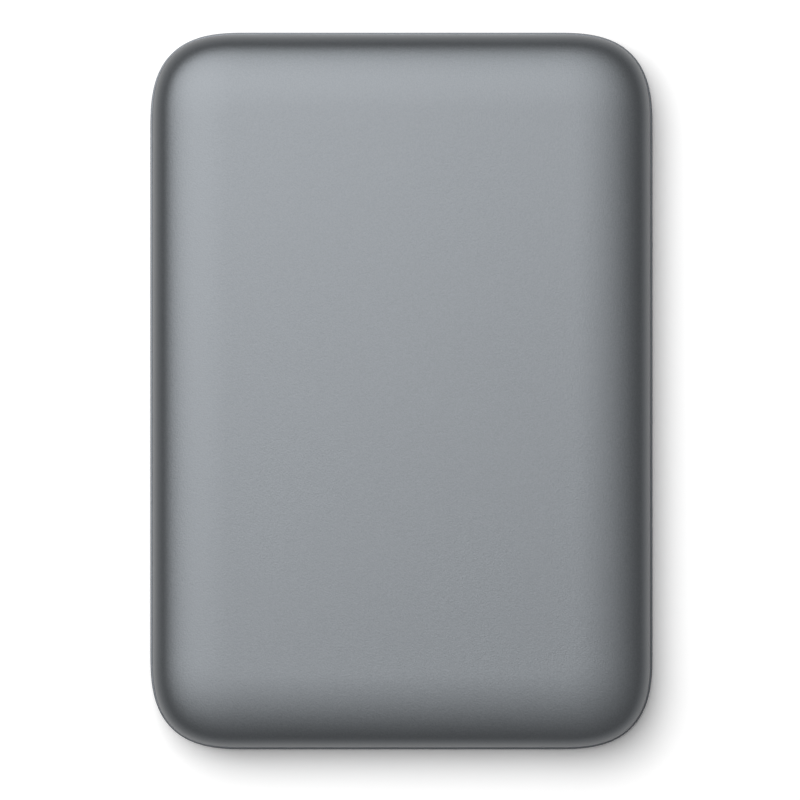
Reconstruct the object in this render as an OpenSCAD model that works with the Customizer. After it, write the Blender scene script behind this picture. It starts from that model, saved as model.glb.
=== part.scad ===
// Portable external hard drive lying flat on four rubber feet, in millimetres.
// The long side runs along Y, +Z is up, and the origin is at the centre of the surface it rests on.
// A pillow-shaped top cover closes on a shallow tray. Rubber corner pads hold a 2.5 inch disc drive,
// and a small bridge board behind it carries the USB socket.

/* [Case] */
// Width of the case from side to side
body_w = 81; // [79:0.5:88]
// Length of the case from end to end
body_l = 115.6; // [113:0.2:125]
// Height of the crown above the surface the case rests on
body_h = 14.8; // [14:0.1:18]
// Wall thickness of both covers
wall_t = 1.6; // [1.3:0.1:1.9]
// Corner radius of the tray seen from above
tray_corner_r = 11.6; // [10.5:0.1:13]
// Corner radius of the top cover seen from above
cover_corner_r = 10.1; // [10.1:0.1:11]
// Width of the cover's curved edge, from its side to the level top
crown_w = 9.9; // [8:0.1:10]
// Tightness of the shoulder between the cover's wall and its top
shoulder_bend = 3; // [2:0.1:6]
// Share of the cover's curve taken by its steep wall
wall_bend = 47; // [20:1:90]
// Share of the cover's curve taken by its gentle crown
top_bend = 107; // [20:1:160]
// Width of the rounding round the tray's underside
tray_round_w = 4.2; // [3:0.1:5]
// Fullness of the tray's rounding
tray_power = 2.2; // [2:0.1:3]
// Flat steps in each rounding
round_steps = 14; // [10:1:18]
// Thickness of the ribs inside the covers
rib_t = 1; // [0.8:0.1:1.2]
// Depth of the ribs under the crown
cover_rib_h = 1.2; // [0.8:0.1:1.6]
// Height of the ribs on the tray's floor
tray_rib_h = 0.9; // [0.6:0.1:0.9]
// Distance between the ribs across the case
rib_pitch = 17; // [15:1:18]
// Distance between the cross ribs under the crown
cross_rib_pitch = 22; // [18:1:23]

/* [Seam] */
// Height of the parting line above the resting surface
seam_z = 3.9; // [3.6:0.1:4.4]
// Step from the tray's side in to the cover's side
seam_step = 0.45; // [0.3:0.05:0.7]
// Gap between the covers at the parting line
seam_gap = 0.15; // [0.1:0.05:0.3]
// Thickness of the tray's edge outside the lip
tray_edge_t = 0.7; // [0.6:0.05:0.75]
// Thickness of the lip inside the parting line
lip_t = 0.7; // [0.6:0.05:0.75]
// Height of the lip
lip_h = 1.2; // [0.9:0.1:1.4]
// Clearance round the lip
lip_clear = 0.1; // [0.06:0.02:0.14]
// Length of one snap catch
catch_l = 6; // [4:0.5:9]
// Height of one snap catch
catch_h = 0.5; // [0.4:0.05:0.6]
// Reach of a snap catch into the tray's wall
catch_reach = 0.3; // [0.2:0.05:0.35]
// Distance between the snap catches along the long sides
catch_pitch = 26; // [20:1:30]

/* [Feet and pads] */
// Diameter of a rubber foot
foot_d = 7; // [5:0.5:9]
// Height that the feet lift the tray
foot_lift = 0.5; // [0.4:0.1:0.8]
// Depth that a foot sits into the tray
foot_sink = 0.6; // [0.4:0.1:0.8]
// Distance of the feet from the tray's sides
foot_inset = 11; // [10:0.5:14]
// Clearance between a rubber pad and the covers
pad_clear = 0.15; // [0.1:0.05:0.25]
// Clearance between a rubber pad and the drive
pad_grip = 0.05; // [0.03:0.01:0.1]
// Length that a corner pad wraps along each side of the drive
pad_wrap = 8; // [6:0.5:8]
// Reach of a corner pad over the drive's top and bottom
pad_lap = 5; // [4:0.5:6]
// Gap under the drive, filled by the pads
drive_lift = 1.2; // [1:0.1:1.4]

/* [Bridge board] */
// Width of the bridge board
board_w = 53; // [51:0.5:53]
// Depth of the bridge board
board_d = 7; // [6.8:0.1:7.2]
// Thickness of the bridge board
board_t = 1; // [0.8:0.1:1.2]
// Gap between the bridge board and the cover's end wall
board_clear = 0.5; // [0.4:0.1:0.8]
// Gap between the bridge board and the drive
board_gap = 0.6; // [0.5:0.1:0.9]
// Height of the bridge board above the drive's underside
board_rise = 1.2; // [1:0.1:1.4]
// Diameter of the posts under the bridge board
post_d = 2.6; // [2.4:0.1:2.8]
// Diameter of the pins on the posts
pin_d = 1.2; // [1:0.1:1.3]
// Distance of a post from the board's end
post_inset = 1.6; // [1.5:0.1:1.8]
// Clearance round pins and small fitted parts
fit_clear = 0.1; // [0.06:0.02:0.16]

/* [USB socket] */
// Position of the socket across the case
usb_x = -16; // [-16.5:0.1:-15.9]
// Width of the socket's mouth
usb_w = 12; // [11.8:0.1:12.4]
// Height of the socket's mouth
usb_h = 1.85; // [1.7:0.05:2.2]
// Thickness of the socket's metal shell
usb_shell_t = 0.3; // [0.2:0.05:0.4]
// Depth of the socket
usb_d = 7.6; // [7:0.1:8]
// Width of the wide half of the mouth
usb_wide_w = 7.1; // [6.8:0.1:7.4]
// Width of the step between the two halves
usb_step_w = 0.8; // [0.6:0.1:1]
// Size of the cut corners of the mouth
usb_bevel = 0.55; // [0.4:0.05:0.7]
// Clearance between the shell and the cover's opening
usb_clear = 0.25; // [0.15:0.05:0.35]
// Thickness of the contact tongue
tongue_t = 0.6; // [0.5:0.05:0.7]
// Depth of the block behind the tongue
usb_back_d = 2; // [1.6:0.1:2.4]
// Length of the light pipe
light_l = 2.6; // [2.2:0.1:3]
// Distance of the light pipe from the socket's centre
light_offset = 8.5; // [8:0.1:10]
// Diameter of the light pipe
light_d = 1.6; // [1.4:0.1:1.8]

/* [Drive] */
// Width of the disc drive
drive_w = 69.85; // [69:0.05:70.5]
// Length of the disc drive
drive_l = 100.35; // [99.6:0.05:101]
// Height of the disc drive
drive_h = 7; // [7:0.05:7.3]
// Corner radius of the disc drive
drive_r = 3; // [2.5:0.1:3.5]
// Thickness of the drive's lid
lid_t = 0.6; // [0.5:0.05:0.65]
// Height of the disc bay's floor above the drive's underside
floor_z = 1.9; // [1.85:0.05:1.95]
// Depth of the hollow under the base that takes the drive's board
board_bay_h = 1.3; // [1.25:0.05:1.35]
// Width of the gasket
gasket_w = 1; // [0.8:0.05:1.1]
// Depth of the gasket's groove
gasket_h = 0.35; // [0.3:0.05:0.5]
// Land between the bay's edge and the gasket
gasket_land = 0.35; // [0.3:0.05:0.4]
// Shank diameter of a lid screw
lid_screw_d = 1.5; // [1.3:0.05:1.5]
// Head diameter of a lid screw
lid_head_d = 2.6; // [2.4:0.1:2.8]
// Length of a lid screw's shank
lid_screw_l = 3; // [2.5:0.1:3.5]
// Thickness of a screw head
head_t = 0.35; // [0.3:0.05:0.4]
// Distance of the lid's screws from the drive's sides
lid_screw_inset = 3.4; // [3.2:0.1:3.5]
// Thickness of the bay's wall beside the coil
bay_wall = 1.75; // [1.7:0.05:1.8]
// Width of the serial connector
sata_w = 32.6; // [32:0.1:33.2]
// Position of the serial connector across the drive
sata_x = 7; // [6.5:0.5:7.5]

/* [Discs and motor] */
// Distance of the spindle from the drive's front end
spindle_y = 34.9; // [34.6:0.1:35.4]
// Diameter of a disc
disc_d = 65; // [64:0.1:65.2]
// Bore of a disc
disc_bore_d = 20; // [19:0.1:20.5]
// Thickness of a disc
disc_t = 0.64; // [0.6:0.02:0.7]
// Height of the lower disc above the bay's floor
disc_rise = 1; // [0.98:0.02:1.04]
// Gap between the two discs
disc_gap = 1.4; // [1.36:0.02:1.44]
// Clearance between the discs and the bay's wall
disc_clear = 0.7; // [0.6:0.05:0.8]
// Outer diameter of the spacer ring and the clamp's rim
clamp_d = 23.6; // [23:0.1:24.4]
// Thickness of the disc clamp
clamp_t = 0.45; // [0.4:0.02:0.48]
// Diameter of the spindle shaft
shaft_d = 2.5; // [2.3:0.1:3]
// Outer diameter of the bearing sleeve
sleeve_d = 5.5; // [5:0.1:6]
// Running clearance in the spindle and pivot bearings
run_clear = 0.02; // [0.01:0.01:0.04]
// Depth of the motor well below the bay's floor
well_depth = 0.6; // [0.5:0.05:0.7]
// Inner radius of the rotor magnet
magnet_r = 7.1; // [7:0.05:7.4]
// Thickness of the rotor magnet
magnet_t = 1.15; // [1:0.05:1.2]
// Air gap between the stator and the rotor magnet
air_gap = 0.2; // [0.15:0.05:0.3]
// Poles of the stator
pole_count = 9; // [6:3:9]
// Screws in the disc clamp
clamp_screw_count = 6; // [3:1:6]

/* [Head arm] */
// Position of the arm's pivot across the drive
pivot_x = -14; // [-14.5:0.1:-13.5]
// Distance of the arm's pivot from the drive's front end
pivot_y = 79; // [78.6:0.1:79.4]
// Direction of the parked arm, from +X
park_angle = -23; // [-25:0.5:-22]
// Distance from the pivot to the heads
arm_reach = 38; // [37.6:0.1:38.4]
// Length of the stiff part of the arm
arm_l = 29; // [27:0.5:30]
// Thickness of the lower and upper arm plates
arm_t = 0.34; // [0.3:0.02:0.36]
// Gap between a head and the disc it reads
fly_gap = 0.03; // [0.02:0.01:0.05]
// Thickness of a head's slider
slider_t = 0.2; // [0.18:0.01:0.22]
// Thickness of a suspension
beam_t = 0.12; // [0.1:0.01:0.14]
// Diameter of the arm's hub
hub_d = 8.8; // [8.4:0.1:9]
// Outer diameter of the pivot's bearing cartridge
cartridge_d = 6; // [5.6:0.1:6.2]
// Diameter of the pivot shaft
pivot_d = 2.6; // [2.4:0.1:2.8]
// Angle from the line opposite the heads to the coil's middle
coil_turn = 12; // [11:0.5:13]
// Half the angle that the coil spans
coil_half = 11; // [10:0.5:11.5]
// Inner radius of the coil about the pivot
coil_in_r = 7.7; // [7.5:0.1:8]
// Outer radius of the coil about the pivot
coil_out_r = 17.5; // [17:0.1:17.6]
// Thickness of the coil
coil_t = 1.2; // [1:0.05:1.25]
// Angle that the arm swings from parked to the innermost track
swing_angle = 32; // [28:1:32]

/* [Magnets and ramp] */
// Thickness of a magnet plate
yoke_t = 0.6; // [0.5:0.05:0.65]
// Thickness of a magnet
magnet_plate_t = 0.7; // [0.6:0.05:0.75]
// Outer radius of the magnet plates about the pivot
yoke_r = 18.2; // [17.8:0.1:18.3]
// Diameter of the posts between the magnet plates
yoke_post_d = 2; // [1.6:0.1:2.1]
// Thickness of the ramp along the arm
ramp_t = 2.2; // [1.8:0.1:2.4]
// Clearance of the lift tabs in the ramp
ramp_clear = 0.12; // [0.08:0.02:0.14]

/* [Drive board] */
// Depth of the drive's own board
drive_board_l = 51; // [50:0.5:51]
// Distance of the board's edges from the drive's sides
drive_board_inset = 3.4; // [3.2:0.1:3.8]
// Thickness of the drive's own board
drive_board_t = 0.6; // [0.5:0.05:0.7]
// Gap between the drive's underside and its board
drive_board_rise = 0.3; // [0.25:0.05:0.35]
// Depth of the pocket over the chips
chip_pocket = 1.3; // [1.1:0.1:1.5]

/* [Hidden] */
$fn = 64;
cut = 0.5;
lip_root = 0.6;
root_depth = 0.4;
boss_root = 0.2;
usb_recess = 0.5;
part_row = 2.2;
bridge_chip_size = [6, 6, -0.85];
flash_chip_size = [4.9, 3.9, 1.2];
flash_chip_x = -5;
crystal_size = [3.2, 2.5, 0.7];
crystal_x = 1.5;
regulator_size = [3, 3, 1];
regulator_x = 8;
controller_size = [9, 9, 1];
controller_place = [5.6, 6.5];
motor_chip_size = [6, 6, 0.9];
motor_chip_place = [-3.6, 9.6];
memory_size = [6, 5.6, 0.9];
memory_place = [-3.6, 2.8];
sata_end = 1.6;
arm_bay_side = 5.9;
arm_bay_front = 15;
arm_bay_room = 6;
arm_bay_gap = 3;
coil_bay_front = 9;
coil_bay_right = 22;
lid_screw_left = 13;
lid_screw_right = 3;
board_screw_side = 2.2;
board_screw_front = 3;
board_screw_back = 4.9;
board_screw_room = 0.8;
board_screw_bite = 0.7;
board_head_d = 2.4;
board_boss_d = 4;
board_corner_r = 1;
board_back_gap = 0.75;
chip_front = 1;
chip_back = 14;
well_room = 0.8;
pivot_boss_d = 5.2;
pivot_boss_h = 0.3;
spigot_sink = 0.35;
spigot_clear = 0.05;
socket_ratio = 2.4;
hub_sink = 0.08;
sleeve_room = 1.4;
sleeve_gap = 0.2;
sleeve_floor = 0.45;
skirt_gap = 0.4;
arm_root_in = 0.4;
arm_tip = 1.9;
arm_hole_x = 9;
arm_hole_pitch = 6.5;
arm_hole_r = 1.6;
arm_hole_step = 0.3;
fork_root = 0.8;
fork_end = 1;
coil_seat = 0.4;
beam_root = 3;
beam_root_w = 3.2;
beam_tip = 0.6;
beam_tip_w = 1.2;
beam_nose = 0.4;
yoke_gap = 0.1;
yoke_in = 2.1;
yoke_ear = 1.4;
yoke_ear_turn = 5;
magnet_in = 0.8;
magnet_out = 1;
magnet_turn = 6;
ramp_in = 1.2;
ramp_out = 1.4;
ramp_back = 0.3;
ramp_foot_l = 2.6;
ramp_over = 1;
ramp_foot_h = 1.2;
stop_gap_turn = 4.3;
stop_in = 2;
stop_r = 1;
filter_place = [-11.3, -11.4];
filter_size = [5, 2.4, 3.6];
breather_place = [11, 12];
breather_d = 5.2;
breather_h = 1.2;
ribbon_rise = 0.5;
ribbon_drop = 1.4;
ribbon_end = 1;
ribbon_tail = 2.4;
bracket_size = [7.6, 4.8, 1.4];
bracket_front = 3.8;
bracket_tab = [0.6, 2.8];
light_gap = 0.2;
led_w = 1.6;
led_l = 0.8;
led_h = 0.7;
tongue_gap = 0.35;
tongue_side = 0.5;
sata_signal_w = 10.4;
sata_power_w = 17.4;
sata_blade_z = 3.1;
sata_blade_t = 1.2;
sata_blade_l = 3.6;
sata_depth = 3.15;
sata_back_d = 1.7;
sata_socket_d = 5.6;
sata_top_z = 5.2;
sata_side = 0.3;
sata_notch = 5.1;
bay_r = 3;
bay_end = 15.8;
rail_w = 4;
relief_h = 0.5;
chip_left = 11;
chip_right = 30;
stator_in_r = 4.15;
stator_seat_r = 4.9;
boss_z = 3;
spigot_d = 2;
board_screw_d = 1;
drive_board_gap = 0.25;
lid_inset = 0.15;
clamp_screw_r = 6;
clamp_screw_d = 1;
clamp_screw_l = 1.1;
clamp_head_d = 1.9;
clamp_head_t = 0.3;
clamp_bore_r = 2;
core_r = 5.2;
core_t = 1;
tooth_w = 0.95;
tip_in_r = 6.3;
tip_half = 14;
wind_t = 0.4;
fork_t = 0.8;
fork_span = 4;
coil_band = 2.1;
tab_w = 0.5;
tab_l = 2.6;
slider_l = 1.2;
slider_w = 1;
bearing_r = 2.28;
bearing_t = 1;
collar_r = 2;
collar_t = 0.25;
yoke_half = 30;
yoke_post_r = 12;
yoke_post_turn = 37.7;
ramp_half = 4;
ribbon_x = 4.6;
ribbon_y = 5.4;
ribbon_r = 3.2;
ribbon_t = 0.15;
tray_h = seam_z - foot_lift;
cover_w = body_w - 2 * seam_step;
cover_l = body_l - 2 * seam_step;
cover_h = body_h - seam_z - seam_gap;
cover_z = seam_z + seam_gap;
inner_w = cover_w - 2 * wall_t;
inner_l = cover_l - 2 * wall_t;
tray_floor_z = foot_lift + wall_t;
ceiling_z = body_h - wall_t;
drive_z = tray_floor_z + drive_lift;
board_y = inner_l / 2 - board_clear - board_d;
drive_y = board_y - board_gap - drive_l;
board_z = drive_z + board_rise;
usb_z = board_z + board_t + usb_shell_t + usb_h / 2;
usb_y = cover_l / 2 - usb_recess;
base_h = drive_h - lid_t;
drive_board_top = drive_board_rise + drive_board_t;
drive_board_y = drive_l - board_back_gap - drive_board_l;
spigot_z = floor_z - spigot_sink;
sleeve_z = relief_h + fit_clear;
disc_bay_r = disc_d / 2 + disc_clear;
disc_low_z = floor_z + disc_rise;
disc_high_z = disc_low_z + disc_t + disc_gap;
disc_top_z = disc_high_z + disc_t;
hub_r = disc_bore_d / 2 - run_clear;
well_r = clamp_d / 2 + well_room;
well_z = floor_z - well_depth;
pivot_boss_z = floor_z + pivot_boss_h;
arm_low_z = disc_low_z - fly_gap - slider_t - beam_t - arm_t;
arm_mid_z = disc_low_z + disc_t + fly_gap + slider_t + beam_t;
arm_mid_t = disc_gap - 2 * (fly_gap + slider_t + beam_t);
arm_high_z = disc_top_z + fly_gap + slider_t + beam_t;
arm_top_z = arm_high_z + arm_t;
upper_yoke_z = base_h - yoke_t - yoke_gap;
coil_z = (floor_z + yoke_t + upper_yoke_z - coil_t) / 2;
coil_middle = park_angle + 180 + coil_turn;
yoke_middle = coil_middle - swing_angle / 2;
hub_top_z = disc_top_z - hub_sink;
sleeve_top_z = hub_top_z - sleeve_room;
hub_plate_z = sleeve_top_z + sleeve_gap;
shaft_z = sleeve_z + sleeve_floor;
skirt_z = well_z + skirt_gap;
flange_z = floor_z + skirt_gap;
board_top_z = board_z + board_t;
part_row_y = board_y + board_d - part_row;
sata_front_y = drive_y + drive_l - sata_depth;
beam_levels = [arm_low_z + arm_t, arm_mid_z - beam_t, arm_mid_z + arm_mid_t, arm_high_z - beam_t];

// Points of the tray's rounding, which starts upright at radius r and ends level at height h
function round_points(r, w, h) = [
    for (i = [0 : round_steps])
        let (a = 90 * i / round_steps)
        [r - w * (1 - pow(cos(a), 2 / tray_power)), h * pow(sin(a), 2 / tray_power)]
];

// How far the cover's section has turned after a step, from 0, upright, to 1, level
function crown_turn(i) = (1 - cos(180 * i / round_steps)) / 2;

// Radius of curvature of the cover's section at a turn
function crown_bend(u) = shoulder_bend + wall_bend * pow(1 - u, 10) + top_bend * pow(u, 12);

// The run [inward, upward] of one step of the cover's section
function crown_step(i) =
    let (from = crown_turn(i - 1), to = crown_turn(i), u = (from + to) / 2)
    (to - from) * crown_bend(u) * [sin(90 * u), cos(90 * u)];

// The run of the cover's section up to a step
function crown_run(i) = i < 1 ? [0, 0] : crown_run(i - 1) + crown_step(i);

// Points of the cover's section: upright at radius r, round its shoulder and level at height h
function crown_points(r, w, h) =
    let (whole = crown_run(round_steps))
    [
        for (i = [0 : round_steps])
            let (run = crown_run(i))
            [r - w * run.x / whole.x, h * run.y / whole.y]
    ];

// Outline of a rectangle with round corners, centred
function round_rect(w, l, r) = [
    for (corner = [0 : 3], i = [0 : 8])
        let (
            a = 90 * corner + 90 * i / 8,
            x = (corner == 0 || corner == 3 ? 1 : -1) * (w / 2 - r),
            y = (corner < 2 ? 1 : -1) * (l / 2 - r)
        )
        [x + r * cos(a), y + r * sin(a)]
];

// A cushion with straight sides and round corners, whose edge follows the points of a curve
// that starts upright at the corners' radius. The skirt is an upright band below it.
module cushion(width, length, curve, skirt = 0) {
    r = curve[0].x;
    h = curve[len(curve) - 1].y;
    half = concat([[0, -skirt]], skirt > 0 ? [[r, -skirt]] : [], curve, [[0, h]]);
    flat_w = width - 2 * r;
    flat_l = length - 2 * r;
    translate([-flat_w / 2, -flat_l / 2, -skirt])
        cube([flat_w, flat_l, h + skirt]);
    for (turn = [0, 180]) {
        rotate([0, 0, turn])
            translate([flat_w / 2, flat_l / 2, 0]) {
                rotate([90, 0, 0])
                    linear_extrude(flat_l)
                        polygon(half);
                rotate_extrude(angle = 90)
                    polygon(half);
            }
        rotate([0, 0, turn + 90])
            translate([flat_l / 2, flat_w / 2, 0]) {
                rotate([90, 0, 0])
                    linear_extrude(flat_w)
                        polygon(half);
                rotate_extrude(angle = 90)
                    polygon(half);
            }
    }
}

// A block with round corners, from z0 to z1
module round_block(width, length, r, z0, z1) {
    translate([0, 0, z0])
        linear_extrude(z1 - z0)
            polygon(round_rect(width, length, r));
}

// A block between two corners
module box_between(low, high) {
    translate(low)
        cube(high - low);
}

// A flat ring sector about the Z axis, half the given span each side of its middle
module sector(r0, r1, middle, half_span, z0, z1) {
    translate([0, 0, z0])
        rotate([0, 0, middle - half_span])
            rotate_extrude(angle = 2 * half_span)
                translate([r0, 0])
                    square([r1 - r0, z1 - z0]);
}

// A ring about the Z axis
module ring(r0, r1, z0, z1) {
    rotate_extrude()
        translate([r0, z0])
            square([r1 - r0, z1 - z0]);
}

// Places its children in the drive, whose front end lies at y = 0 and underside at z = 0
module in_drive() {
    translate([0, drive_y, drive_z])
        children();
}

// Places its children about the spindle
module at_spindle() {
    in_drive()
        translate([0, spindle_y, 0])
            children();
}

// Places its children about the arm's pivot
module at_pivot() {
    in_drive()
        translate([pivot_x, pivot_y, 0])
            children();
}

// Places its children about the pivot, with +X along the parked arm
module along_arm() {
    at_pivot()
        rotate([0, 0, park_angle])
            children();
}

// Snap catches on the lip, or the slots for them where grow is their clearance
module catches(grow) {
    lip_w = body_w - 2 * (tray_edge_t + lip_clear);
    lip_l = body_l - 2 * (tray_edge_t + lip_clear);
    reach = 2 * (catch_reach + grow);
    catch_z = seam_z - lip_h / 2;
    for (side = [-1, 1]) {
        for (i = [-1 : 1])
            translate([side * lip_w / 2, i * catch_pitch, catch_z])
                cube([reach, catch_l + 2 * grow, catch_h + 2 * grow], center = true);
        for (i = [-0.5, 0.5])
            translate([i * catch_pitch, side * lip_l / 2, catch_z])
                cube([catch_l + 2 * grow, reach, catch_h + 2 * grow], center = true);
    }
}

// Outline of the socket's mouth: a wide half and a narrow half, with a step between their tops.
// The step closes where the outline is grown past it.
module usb_outline(grow) {
    high = usb_h / 2 + grow;
    left = -usb_w / 2 - grow;
    right = usb_w / 2 + grow;
    step_left = -usb_w / 2 + usb_wide_w + grow;
    step_right = -usb_w / 2 + usb_wide_w + usb_step_w - grow;
    step_z = usb_h / 6 + grow;
    bevel = usb_bevel + grow / 2;
    step = [[step_right, high], [step_right, step_z], [step_left, step_z], [step_left, high]];
    polygon(concat(
        [[left, high], [left, bevel - high], [left + bevel, -high], [right - bevel, -high]],
        [[right, bevel - high], [right, high]],
        step_right > step_left ? step : []
    ));
}

// The socket's mouth as a prism between two places along the case
module usb_prism(grow, y0, y1) {
    translate([usb_x, y1, usb_z])
        rotate([90, 0, 0])
            linear_extrude(y1 - y0)
                usb_outline(grow);
}

module top_cover() {
    lip_w = body_w - 2 * (tray_edge_t + lip_clear);
    lip_l = body_l - 2 * (tray_edge_t + lip_clear);
    lip_r = tray_corner_r - tray_edge_t - lip_clear;
    rib_reach = inner_l / 2 - crown_w;
    rib_end = drive_w / 2 - pad_wrap - 2 * pad_clear;
    rib_z = ceiling_z - cover_rib_h;
    rib_top_z = ceiling_z + wall_t / 4;
    color("#8e9398")
        difference() {
            union() {
                difference() {
                    translate([0, 0, cover_z])
                        cushion(cover_w, cover_l, crown_points(cover_corner_r, crown_w, cover_h));
                    translate([0, 0, cover_z])
                        cushion(inner_w, inner_l,
                            crown_points(cover_corner_r - wall_t, crown_w - wall_t, cover_h - wall_t), cut);
                }
                difference() {
                    round_block(lip_w, lip_l, lip_r, seam_z - lip_h, cover_z + lip_root);
                    round_block(lip_w - 2 * lip_t, lip_l - 2 * lip_t, lip_r - lip_t,
                        seam_z - lip_h - cut, cover_z + lip_root + cut);
                }
                catches(0);
                for (i = [-1 : 1])
                    box_between([i * rib_pitch - rib_t / 2, -rib_reach, rib_z],
                        [i * rib_pitch + rib_t / 2, rib_reach, rib_top_z]);
                for (i = [-2 : 2])
                    box_between([-rib_end, i * cross_rib_pitch - rib_t / 2, rib_z],
                        [rib_end, i * cross_rib_pitch + rib_t / 2, rib_top_z]);
            }
            usb_prism(usb_shell_t + usb_clear, cover_l / 2 - wall_t - cut, cover_l / 2 + cut);
            light_hole(light_d + fit_clear);
        }
}

// The hole for the light pipe, or the pipe's own line
module light_hole(d) {
    translate([usb_x + light_offset, cover_l / 2 + cut, usb_z])
        rotate([90, 0, 0])
            cylinder(d = d, h = wall_t + 2 * cut);
}

module bottom_cover() {
    rabbet_z = seam_z - lip_h - lip_clear;
    rib_reach = drive_l / 2 - pad_wrap;
    rib_y = drive_y + drive_l / 2;
    color("#83888d")
        difference() {
            union() {
                difference() {
                    translate([0, 0, seam_z])
                        mirror([0, 0, 1])
                            cushion(body_w, body_l, round_points(tray_corner_r, tray_round_w, tray_h));
                    translate([0, 0, seam_z])
                        mirror([0, 0, 1])
                            cushion(body_w - 2 * wall_t, body_l - 2 * wall_t,
                                round_points(tray_corner_r - wall_t, tray_round_w - wall_t, tray_h - wall_t),
                                cut);
                    round_block(body_w - 2 * tray_edge_t, body_l - 2 * tray_edge_t,
                        tray_corner_r - tray_edge_t, rabbet_z, seam_z + cut);
                    catches(lip_clear);
                }
                for (i = [-1 : 1])
                    box_between([i * rib_pitch - rib_t / 2, rib_y - rib_reach, tray_floor_z - wall_t / 4],
                        [i * rib_pitch + rib_t / 2, rib_y + rib_reach, tray_floor_z + tray_rib_h]);
                board_posts(post_d, tray_floor_z - wall_t / 4, board_z);
                board_posts(pin_d, board_z - cut, board_z + board_t);
            }
            for (x = [-1, 1], y = [-1, 1])
                foot_place(x, y)
                    cylinder(d = foot_d + fit_clear, h = foot_lift + foot_sink);
        }
}

// The two posts that hold the bridge board, or the holes for their pins
module board_posts(d, z0, z1) {
    for (side = [-1, 1])
        translate([side * (board_w / 2 - post_inset), board_y + board_d / 2, z0])
            cylinder(d = d, h = z1 - z0);
}

// Places its children at one foot
module foot_place(x_side, y_side) {
    translate([x_side * (body_w / 2 - foot_inset), y_side * (body_l / 2 - foot_inset), 0])
        children();
}

module foot(x_side, y_side) {
    bevel = foot_lift / 2;
    top = foot_lift + foot_sink;
    color("#1e1f21")
        foot_place(x_side, y_side)
            rotate_extrude()
                polygon([[0, 0], [foot_d / 2 - bevel, 0], [foot_d / 2, bevel], [foot_d / 2, top], [0, top]]);
}

module foot_front_left() { foot(-1, -1); }
module foot_front_right() { foot(1, -1); }
module foot_rear_left() { foot(-1, 1); }
module foot_rear_right() { foot(1, 1); }

// Room for the rubber pads inside the closed case
module pad_room() {
    room_w = inner_w - 2 * pad_clear;
    room_l = inner_l - 2 * pad_clear;
    room_r = cover_corner_r - wall_t - pad_clear;
    translate([0, 0, cover_z])
        cushion(room_w, room_l,
            crown_points(room_r, crown_w - wall_t - pad_clear, cover_h - wall_t - pad_clear),
            seam_gap);
    translate([0, 0, seam_z])
        mirror([0, 0, 1])
            cushion(room_w, room_l,
                round_points(room_r, tray_round_w - wall_t, seam_z - tray_floor_z - pad_clear));
}

// A rubber pad round one corner of the drive
module pad(x_side, y_side) {
    centre_y = drive_y + drive_l / 2;
    outer = [body_w / 2, body_l, body_h];
    color("#2a2b2d")
        difference() {
            intersection() {
                pad_room();
                translate([0, centre_y, 0])
                    mirror([x_side < 0 ? 1 : 0, 0, 0])
                        mirror([0, y_side < 0 ? 1 : 0, 0]) {
                            box_between([drive_w / 2 - pad_lap, drive_l / 2 - pad_wrap, 0], outer);
                            box_between([drive_w / 2 - pad_wrap, drive_l / 2 - pad_lap, 0], outer);
                        }
            }
            translate([0, centre_y, 0])
                round_block(drive_w + 2 * pad_grip, drive_l + 2 * pad_grip, drive_r + pad_grip,
                    drive_z - pad_grip, drive_z + drive_h + pad_grip);
        }
}

module pad_front_left() { pad(-1, -1); }
module pad_front_right() { pad(1, -1); }
module pad_rear_left() { pad(-1, 1); }
module pad_rear_right() { pad(1, 1); }

module bridge_board() {
    color("#1f5a3c")
        difference() {
            box_between([-board_w / 2, board_y, board_z], [board_w / 2, board_y + board_d, board_top_z]);
            board_posts(pin_d + fit_clear, board_z - cut, board_z + board_t + cut);
        }
}

// A square chip standing on a board, or hanging under it where its height is negative
module chip(x, y, z, size) {
    translate([x - size.x / 2, y - size.y / 2, min(z, z + size.z)])
        cube([size.x, size.y, abs(size.z)]);
}

module bridge_chip() {
    color("#1d1d1f") chip(sata_x, board_y + board_d / 2, board_z, bridge_chip_size);
}

module flash_chip() {
    color("#1d1d1f") chip(sata_x + flash_chip_x, part_row_y, board_top_z, flash_chip_size);
}

module crystal() {
    color("#c9ccd0") chip(sata_x + crystal_x, part_row_y, board_top_z, crystal_size);
}

module voltage_regulator() {
    color("#1d1d1f") chip(sata_x + regulator_x, part_row_y, board_top_z, regulator_size);
}

module status_led() {
    led_y = cover_l / 2 - light_l - light_gap - led_l / 2;
    color("#f2f0e6") chip(usb_x + light_offset, led_y, board_top_z, [led_w, led_l, led_h]);
}

module light_pipe() {
    color("#dfe6ea")
        intersection() {
            light_hole(light_d);
            translate([usb_x + light_offset - light_d, cover_l / 2 - light_l, usb_z - light_d])
                cube([2 * light_d, light_l - light_gap, 2 * light_d]);
        }
}

module usb_shell() {
    color("#b4b7ba")
        difference() {
            usb_prism(usb_shell_t, usb_y - usb_d, usb_y);
            usb_prism(0, usb_y - usb_d + usb_shell_t, usb_y + cut);
        }
}

module usb_tongue() {
    back_y = usb_y - usb_d + usb_shell_t;
    front_y = usb_y - usb_shell_t;
    wide_x = usb_x - usb_w / 2 + usb_wide_w / 2;
    narrow_w = usb_w - usb_wide_w - usb_step_w;
    narrow_x = usb_x + usb_w / 2 - narrow_w / 2;
    tongue_z = usb_z + usb_h / 2 - tongue_gap - tongue_t;
    color("#202124")
        union() {
            usb_prism(-fit_clear, back_y, back_y + usb_back_d);
            for (half = [[wide_x, usb_wide_w], [narrow_x, narrow_w]])
                box_between([half[0] - half[1] / 2 + tongue_side, back_y, tongue_z],
                    [half[0] + half[1] / 2 - tongue_side, front_y, tongue_z + tongue_t]);
        }
}

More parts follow.
